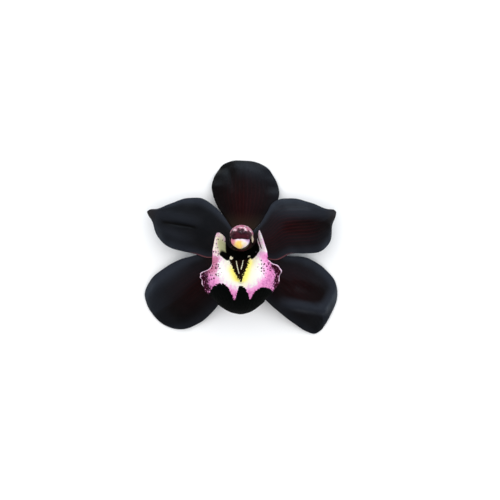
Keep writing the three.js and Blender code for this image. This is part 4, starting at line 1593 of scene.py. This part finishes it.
@dataclass(frozen=True)
class Column:
    """The column: a trunk that swells to a head, whose hood bends over the anther cap."""

    plain: tuple[Section, ...] = (
        Section(0, 0, 3.5, 3.325, 3.15), Section(0.645, 4.3, 3.57, 3.5, 2.87),
        Section(1.935, 9.675, 4.56, 4.56, 2.28), Section(3.12, 14.62, 6.04, 5.7, 2.05),
        Section(3.98, 18.06, 5.7, 5.24, 2.28), Section(2.795, 20.64, 4.9, 3.88, 1.94),
        Section(1.83, 21.93, 2.74, 1.94, 1.03),
    )
    hooded: tuple[Section, ...] = (
        Section(0, 0, 3.5, 3.325, 3.15), Section(0.645, 4.3, 3.57, 3.5, 2.87),
        Section(1.935, 9.675, 4.56, 4.56, 2.28, 0.6), Section(3.12, 14.62, 6.04, 5.7, 2.05, 2.0),
        Section(3.9, 17.8, 5.9, 5.3, 2.1, 3.0), Section(4.0, 20.0, 5.6, 4.4, 0.7, 0.5),
        Section(3.3, 21.9, 5.2, 3.2, -1.3), Section(2.3, 23.0, 4.7, 2.0, -1.1),
        Section(1.75, 23.5, 3.9, 0.9, -0.3),
    )
    stigma_place: Triple = (-0.9, 0.36, 24.5)
    stigma_half: Triple = (2.9, 3.1, 3.6)
    rows: int = 150
    sides: int = 120

    def rings(self, sections: tuple[Section, ...], rows: int, sides: int) -> np.ndarray:
        """Rings of points up the column.

        Args:
            sections: Its sections from the foot to the head.
            rows: The number of rings.
            sides: The points in each.

        Returns:
            The rings of points.
        """
        table = np.array([(s.y, s.z, s.half, s.back, s.front, s.ridge) for s in sections])
        t = np.linspace(0.0, 1.0, rows)
        spine = spline(np.pad(table[:, :2], ((0, 0), (1, 0))), t)
        half, back, front, ridge = spline(table[:, 2:], t).T[..., None]
        tangent = np.gradient(spine, axis=0)
        tangent[0] = (0, 0, 1)
        tangent = unit(tangent)
        to_back = np.stack([np.zeros(rows), tangent[:, 2], -tangent[:, 1]], axis=1)
        angle = np.linspace(0.0, TURN, sides, endpoint=False)[None, :]
        cos, sin = np.cos(angle), np.sin(angle)
        depth = np.where(sin > 0, back, front) * sin - ridge * bell(np.abs(cos) - 0.93, 0.12) * (sin < 0.25)
        points = spine[:, None, :] + to_back[:, None, :] * depth[..., None]
        points[..., 0] += BLOOM.column_offset * t[:, None] + half * cos
        points[..., 2] += BLOOM.seat
        return points

    def carve(self, points: np.ndarray) -> tuple[np.ndarray, np.ndarray]:
        """The hollow stigma under the anther cap.

        Args:
            points: The column's rings.

        Returns:
            The rings with the hollow, and how deep each point lies in it, from 0 to 1.
        """
        middle, half = np.array(self.stigma_place), np.array(self.stigma_half)
        x, y, z = np.moveaxis((points - middle) / half, -1, 0)
        room = 1 - x ** 2 - z ** 2
        floor = np.sqrt(np.clip(room, 0, 1))
        in_front = (y < floor) & (room > 0) & (points[..., 1] < 3.5)
        carved = points.copy()
        share = smooth(np.clip(room, 0, 1) * 6)
        target = middle[1] + half[1] * floor
        carved[..., 1] += np.where(in_front, (target - points[..., 1]) * share, 0.0)
        return carved, np.where(in_front, share, 0.0)

    def build(self, effects: Effects) -> bpy.types.Object:
        """Shape and dress the column.

        Args:
            effects: The shared shader groups.

        Returns:
            The finished piece.
        """
        berth = Berth.over("column", self.rings(self.plain, 40, 60))
        points, hollow = self.carve(self.rings(self.hooded, self.rows, self.sides))
        x, y, z = np.moveaxis(points, -1, 0)
        angle = np.linspace(0, TURN, self.sides, endpoint=False)[None, :]
        cos, sin = (np.broadcast_to(part, x.shape) for part in (np.cos(angle), np.sin(angle)))
        reach = np.hypot((x + 0.5) / 6.3, (y - 2.0) / 7.0)
        behind = rise(sin, -0.25, 0.15)
        high = rise(z, 24.0, 29.0)
        crown = np.maximum(0.74 * rise(y, 4.8, 6.6) * rise(reach, 0.55, 0.85), rise(reach, 0.88, 0.97))
        spine = rise(sin, 0.25, 0.65) * 0.75 * rise(z, 12.0, 18.0)
        ear = rise(cos, 0.80, 0.95) * rise(sin, 0.30, -0.05) * rise(sin, -0.9, -0.5)
        fields = {
            "pale": behind * crown * high + (1 - high) * spine,
            "cream": ear * rise(z, 20.0, 24.0) * rise(z, 31.5, 30.0) * 0.85,
            "green": rise(z, 15.0, 10.5) * 0.8,
            "freckle": (0.34 * behind * rise(z, 30.0, 24.0)
                        + 0.06 * (1 - behind) * rise(z, 24.0, 19.0)),
            "stigma": hollow,
        }
        piece = mesh_object("column_skin", loft_skin(points, fields), berth)
        dress(piece, ColumnFinish().build(effects), "column")
        return piece


@dataclass(frozen=True)
class AntherCap:
    """The anther cap: two soft cheeks with a furrow between them, hollow underneath."""

    half: Triple = (4.6, 4.1, 2.8)
    place: Triple = (-0.9, 1.18, 30.98)
    lean: float = BLOOM.cap_lean
    rows: int = 90
    sides: int = 128

    def build(self, effects: Effects) -> bpy.types.Object:
        """Shape and dress the cap.

        Args:
            effects: The shared shader groups.

        Returns:
            The finished piece.
        """
        ball = ball_rings(self.half, self.rows, self.sides)
        berth = Berth.over("anther_cap", leaned(ball, self.lean) + np.array(self.place))
        x, y, z = np.moveaxis(ball / np.array(self.half), -1, 0)
        top = rise(z, -0.1, 0.5)
        under = rise(z, -0.1, -0.6)
        radius = np.hypot(x, y)
        furrow = bell(x + 0.04, 0.09) * rise(y, 0.5, -0.6)
        shaped = ball.copy()
        shaped[..., 2] -= top * (0.40 * furrow + 0.35 * rise(y, -0.2, 0.9))
        shaped[..., 2] += under * 1.7 * rise(radius, 0.75, 0.35)
        shaped[..., 1] -= 0.32 * bell(x + 0.04, 0.28) * rise(y, -0.55, -1.0)
        shaped[..., 0] *= 1 - 0.07 * rise(y, -0.1, -1.0)
        points = leaned(shaped, self.lean) + np.array(self.place)
        fields = {
            "pink": rise(x, -0.28, -0.75) * rise(y, -1.1, -0.5),
            "violet": np.maximum(rise(x, 0.25, 0.75) * rise(y, -0.6, 0.0), 0.35 * rise(y, 0.2, 0.5)),
            "yellow": 1.15 * bell(np.hypot((x + 0.14) / 1.15, (y + 0.72) / 0.85), 0.52),
            "cream": bell(np.hypot((x - 0.42) / 1.0, (y + 0.62) / 0.6), 0.40) * 0.9,
        }
        piece = mesh_object("anther_cap_skin", loft_skin(points, fields), berth)
        dress(piece, CapFinish().build(effects), "anther_cap")
        return piece


@dataclass(frozen=True)
class Pollinarium:
    """Two cleft pollinia side by side on one sticky pad."""

    radius: float = 1.15
    lean: float = BLOOM.cap_lean
    lumps: tuple = (((1.05, 1.25, 1.0), (0.8, 0.0)), ((1.05, 1.25, 1.0), (-0.8, 0.0)),
                    ((1.5, 0.8, 0.7), (0.0, -0.95)))
    rows: int = 40
    sides: int = 56

    def build(self, effects: Effects) -> bpy.types.Object:
        """Shape and dress the pollinia and their pad.

        Args:
            effects: The shared shader groups.

        Returns:
            The finished piece.
        """
        points, faces, pads = [], [], []
        count = 0
        for number, (half, (x, y)) in enumerate(self.lumps):
            is_pad = number == len(self.lumps) - 1
            ball = ball_rings(half, self.rows, self.sides)
            if not is_pad:
                ball[..., 2] += 0.14 * bell(ball[..., 0], 0.12) * rise(ball[..., 2], 0.0, -0.8)
            ball = leaned(ball * self.radius, self.lean) + np.array((x, y, 0)) * self.radius
            skin = loft_skin(ball, {"pad": np.full(ball.shape[:2], float(is_pad))})
            points.append(skin.points)
            pads.append(skin.fields["pad"])
            faces += [[corner + count for corner in face] for face in skin.faces]
            count += len(skin.points)
        skin = Skin(np.concatenate(points), faces, {"pad": np.concatenate(pads)})
        piece = mesh_object("pollinarium_skin", skin, Berth.over("pollinarium", skin.points))
        dress(piece, PollenFinish().build(effects), "pollinarium")
        return piece


# ---- Ovary and stalk ------------------------------------------------------------------------------------

@dataclass(frozen=True)
class Stalk:
    """The ribbed ovary, which bends over onto the surface and runs out as the cut stalk."""

    top: float = 9.5
    top_radius: float = 5.6
    neck_radius: float = 3.1
    end_radius: float = 2.1
    length: float = 27.0
    slant: float = 1.8
    ribs: int = 6
    rib_depth: float = 0.07
    twist: float = 0.9 * math.pi
    bend: float = 0.42
    rows: int = 160
    sides: int = 120

    def spine(self, t: np.ndarray) -> np.ndarray:
        """The middle line.

        Args:
            t: Places on it, 0 at the flower and 1 at the cut end.

        Returns:
            The points.
        """
        knots = [(0, 0, self.top), (0, -0.6, self.top * 0.68), (0, -3.2, self.neck_radius * 1.32),
                 (0.1 * self.slant, -7.5, self.neck_radius),
                 (0.5 * self.slant, -0.62 * self.length, (self.neck_radius + self.end_radius) / 2),
                 (self.slant, -self.length, self.end_radius)]
        return spline(np.array(knots), t)

    def radii(self, t: np.ndarray) -> np.ndarray:
        """The radius over the ribs.

        Args:
            t: Places on the middle line, from 0 to 1.

        Returns:
            The radius at each.
        """
        neck = self.top_radius + (self.neck_radius - self.top_radius) * smooth(t / self.bend)
        thin = self.neck_radius + (self.end_radius - self.neck_radius) * (t - self.bend) / (1 - self.bend)
        return np.where(t < self.bend, neck, thin)

    def plain(self) -> np.ndarray:
        """The same loft as points, for its box.

        Returns:
            Rings of points.
        """
        t = np.linspace(0, 1, 60)
        spine = self.spine(t)
        tangent = np.gradient(spine, axis=0)
        tangent[0] = (0, 0, -1)
        tangent = unit(tangent)
        across = unit(np.array((1.0, 0, 0)) - tangent * tangent[:, :1])
        other = np.cross(tangent, across)
        angle = np.linspace(0, TURN, 96, endpoint=False)[None, :]
        rib = 1 - self.rib_depth * (0.5 + 0.5 * np.cos(self.ribs * (angle - self.twist * t[:, None])))
        radius = (self.radii(t)[:, None] * rib)[..., None]
        turned = across[:, None] * np.cos(angle)[..., None] + other[:, None] * np.sin(angle)[..., None]
        return spine[:, None] + turned * radius

    def build(self, effects: Effects) -> bpy.types.Object:
        """Shape and dress the ovary with its stalk.

        Args:
            effects: The shared shader groups.

        Returns:
            The finished piece.
        """
        berth = Berth.over("ovary_and_stalk", self.plain())
        t = np.linspace(0.0, 1.0, self.rows)
        line = bpy.data.meshes.new("stalk_line")
        line.from_pydata(self.spine(t).tolist(), [(k, k + 1) for k in range(self.rows - 1)], [])
        for label, values in (("along", t), ("thick", self.radii(t)), ("turned", self.twist * t)):
            line.attributes.new(label, "FLOAT", "POINT").data.foreach_set("value", values.astype(np.float32))
        host = new_object("stalk_line", line)
        material = StalkFinish().build(effects)
        rig = Rig("ribbed_stalk", {
            "Ribs": ("NodeSocketInt", self.ribs),
            "Rib Depth": ("NodeSocketFloat", self.rib_depth),
            "Sides": ("NodeSocketInt", self.sides),
            "Material": ("NodeSocketMaterial", material),
        })

        curve = rig.node("GeometryNodeMeshToCurve", {0: rig.given["Geometry"]})
        tilted = rig.node("GeometryNodeSetCurveTilt",
                          {"Curve": curve.outputs[0], "Tilt": rig.named("turned")})
        circle = rig.node("GeometryNodeCurvePrimitiveCircle",
                          {"Resolution": rig.given["Sides"], "Radius": 1.0})
        number = rig.node("GeometryNodeInputIndex").outputs[0]
        share = rig.reckon("DIVIDE", number, rig.given["Sides"])
        swell = rig.reckon("COSINE", rig.times(share, rig.given["Ribs"], TURN))
        dent = rig.times(rig.add(rig.times(swell, 0.5), 0.5), rig.given["Rib Depth"])
        here = rig.node("GeometryNodeInputPosition").outputs[0]
        scaled = rig.node("ShaderNodeVectorMath", {0: here, "Scale": rig.reckon("SUBTRACT", 1.0, dent)},
                          operation="SCALE")
        profile = rig.node("GeometryNodeSetPosition", {0: circle.outputs[0], "Position": scaled.outputs[0]})
        marked = rig.node("GeometryNodeStoreNamedAttribute",
                          {"Geometry": profile.outputs[0], "Name": "turn", "Value": share},
                          data_type="FLOAT", domain="POINT")
        tube = rig.node("GeometryNodeCurveToMesh", {
            "Curve": tilted.outputs[0], "Profile Curve": marked.outputs[0], "Scale": rig.named("thick"),
            "Fill Caps": True})
        rig.close(tube.outputs[0])
        piece = rig.harvest(host, "ovary_and_stalk_skin")
        bpy.data.objects.remove(host)
        corners = np.empty(len(piece.data.vertices) * 3)
        piece.data.vertices.foreach_get("co", corners)
        piece.data.vertices.foreach_set("co", berth.place(corners.reshape(-1, 3)).ravel())
        piece.data.update()
        dress(piece, material, "ovary_and_stalk")
        return piece


# ---- Studio ---------------------------------------------------------------------------------------------

@dataclass(frozen=True)
class SoftBox:
    """One broad studio light: where it stands, its size, and how strong and what colour it is."""

    name: str
    place: Triple
    size: Pair
    power: float
    colour: Colour = (1.0, 1.0, 1.0)


@dataclass(frozen=True)
class Overhead:
    """The broad light from above, which casts soft shadows and leaves no shine on the petals."""

    strength: float = 2.95
    spread: float = math.radians(100)
    lean: float = math.radians(14)


@dataclass(frozen=True)
class Studio:
    """A pale floor, soft lights and a camera that looks straight down into the flower's face."""

    camera_place: Triple = (4.7, -1.4, 613.0)
    lens: float = 85.0
    sensor: float = 36.0
    floor_size: float = 4.0
    floor_drop: float = 0.0002
    floor_shades: tuple = ((0.90, 0.90, 0.905), (0.93, 0.93, 0.93))
    overhead: Overhead = Overhead()
    lights: tuple[SoftBox, ...] = (
        SoftBox("sky_window", (0.10, 0.92, 0.36), (1.0, 0.30), 2.7, (0.66, 0.83, 1.0)),
        SoftBox("left_window", (-0.86, -0.20, 0.26), (0.30, 0.6), 1.1, (0.70, 0.85, 1.0)),
        SoftBox("right_window", (0.86, -0.20, 0.26), (0.30, 0.6), 1.7, (0.70, 0.85, 1.0)),
    )
    ambient: float = 0.22
    shine: float = 0.03

    def build(self) -> None:
        """Set up the floor, the lights, the world and the camera."""
        half, low = self.floor_size / 2, -self.floor_drop
        mesh = bpy.data.meshes.new("floor")
        corners = [(-half, -half, low), (half, -half, low), (half, half, low), (-half, half, low)]
        mesh.from_pydata(corners, [], [(0, 1, 2, 3)])
        floor = new_object("floor", mesh)
        finish = Finish("pale_floor")
        shade = finish.desk.mix(finish.desk.noise(3.0, 2.0), *self.floor_shades)
        finish.desk.feed(finish.shader.inputs["Base Color"], shade)
        finish.evenly(Roughness=0.6, Specular_IOR_Level=0.2)
        mesh.materials.append(finish.material)
        for box in self.lights:
            self._light(box)
        self._overhead()
        self._world()
        self._camera()

    @staticmethod
    def _light(box: SoftBox) -> None:
        """Stand one light and aim it at the flower.

        Args:
            box: The light.
        """
        data = bpy.data.lights.new(box.name, "AREA")
        data.shape = "RECTANGLE"
        data.size, data.size_y = box.size
        data.energy = box.power
        data.color = box.colour
        lamp = new_object(box.name, data)
        x, y, z = box.place
        lamp.location = box.place
        lamp.rotation_euler = (math.atan2(math.hypot(x, y), z), 0.0, math.atan2(-x, y) + math.pi)

    def _overhead(self) -> None:
        """Hang the broad light, leaning a little from the dorsal sepal's side."""
        data = bpy.data.lights.new("overhead", "SUN")
        data.energy = self.overhead.strength
        data.angle = self.overhead.spread
        lamp = new_object("overhead", data)
        lamp.rotation_euler = (-self.overhead.lean, 0.0, 0.0)
        lamp.visible_glossy = False

    def _world(self) -> None:
        """A white surround that lights less than it shows, and shines less still."""
        world = bpy.data.worlds.new("studio")
        world.use_nodes = True
        bpy.context.scene.world = world
        desk = Desk(world.node_tree)
        backdrop = world.node_tree.nodes["Background"]
        path = desk.node("ShaderNodeLightPath")
        unseen = desk.span(path.outputs["Is Glossy Ray"], self.ambient, self.shine)
        desk.feed(backdrop.inputs["Strength"], desk.reckon("MAXIMUM", unseen, path.outputs["Is Camera Ray"]))
        backdrop.inputs["Color"].default_value = (1.0, 1.0, 1.0, 1.0)

    def _camera(self) -> None:
        """The camera, straight above with +Y up in its picture."""
        data = bpy.data.cameras.new("camera")
        data.lens, data.sensor_width = self.lens, self.sensor
        camera = new_object("camera", data)
        camera.location = [value * MM for value in self.camera_place]
        bpy.context.scene.camera = camera


# ---- Assembly -------------------------------------------------------------------------------------------


def main() -> None:
    """Build the bloom around the plain model's frame."""
    logging.basicConfig(level=logging.INFO, format="%(name)s %(message)s")
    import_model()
    bpy.context.scene.view_settings.view_transform = "Standard"
    Studio().build()
    effects = Effects.build()
    for part in (Tepals(), Lip(), Column(), AntherCap(), Pollinarium(), Stalk()):
        part.build(effects)


if __name__ == "__main__":
    main()
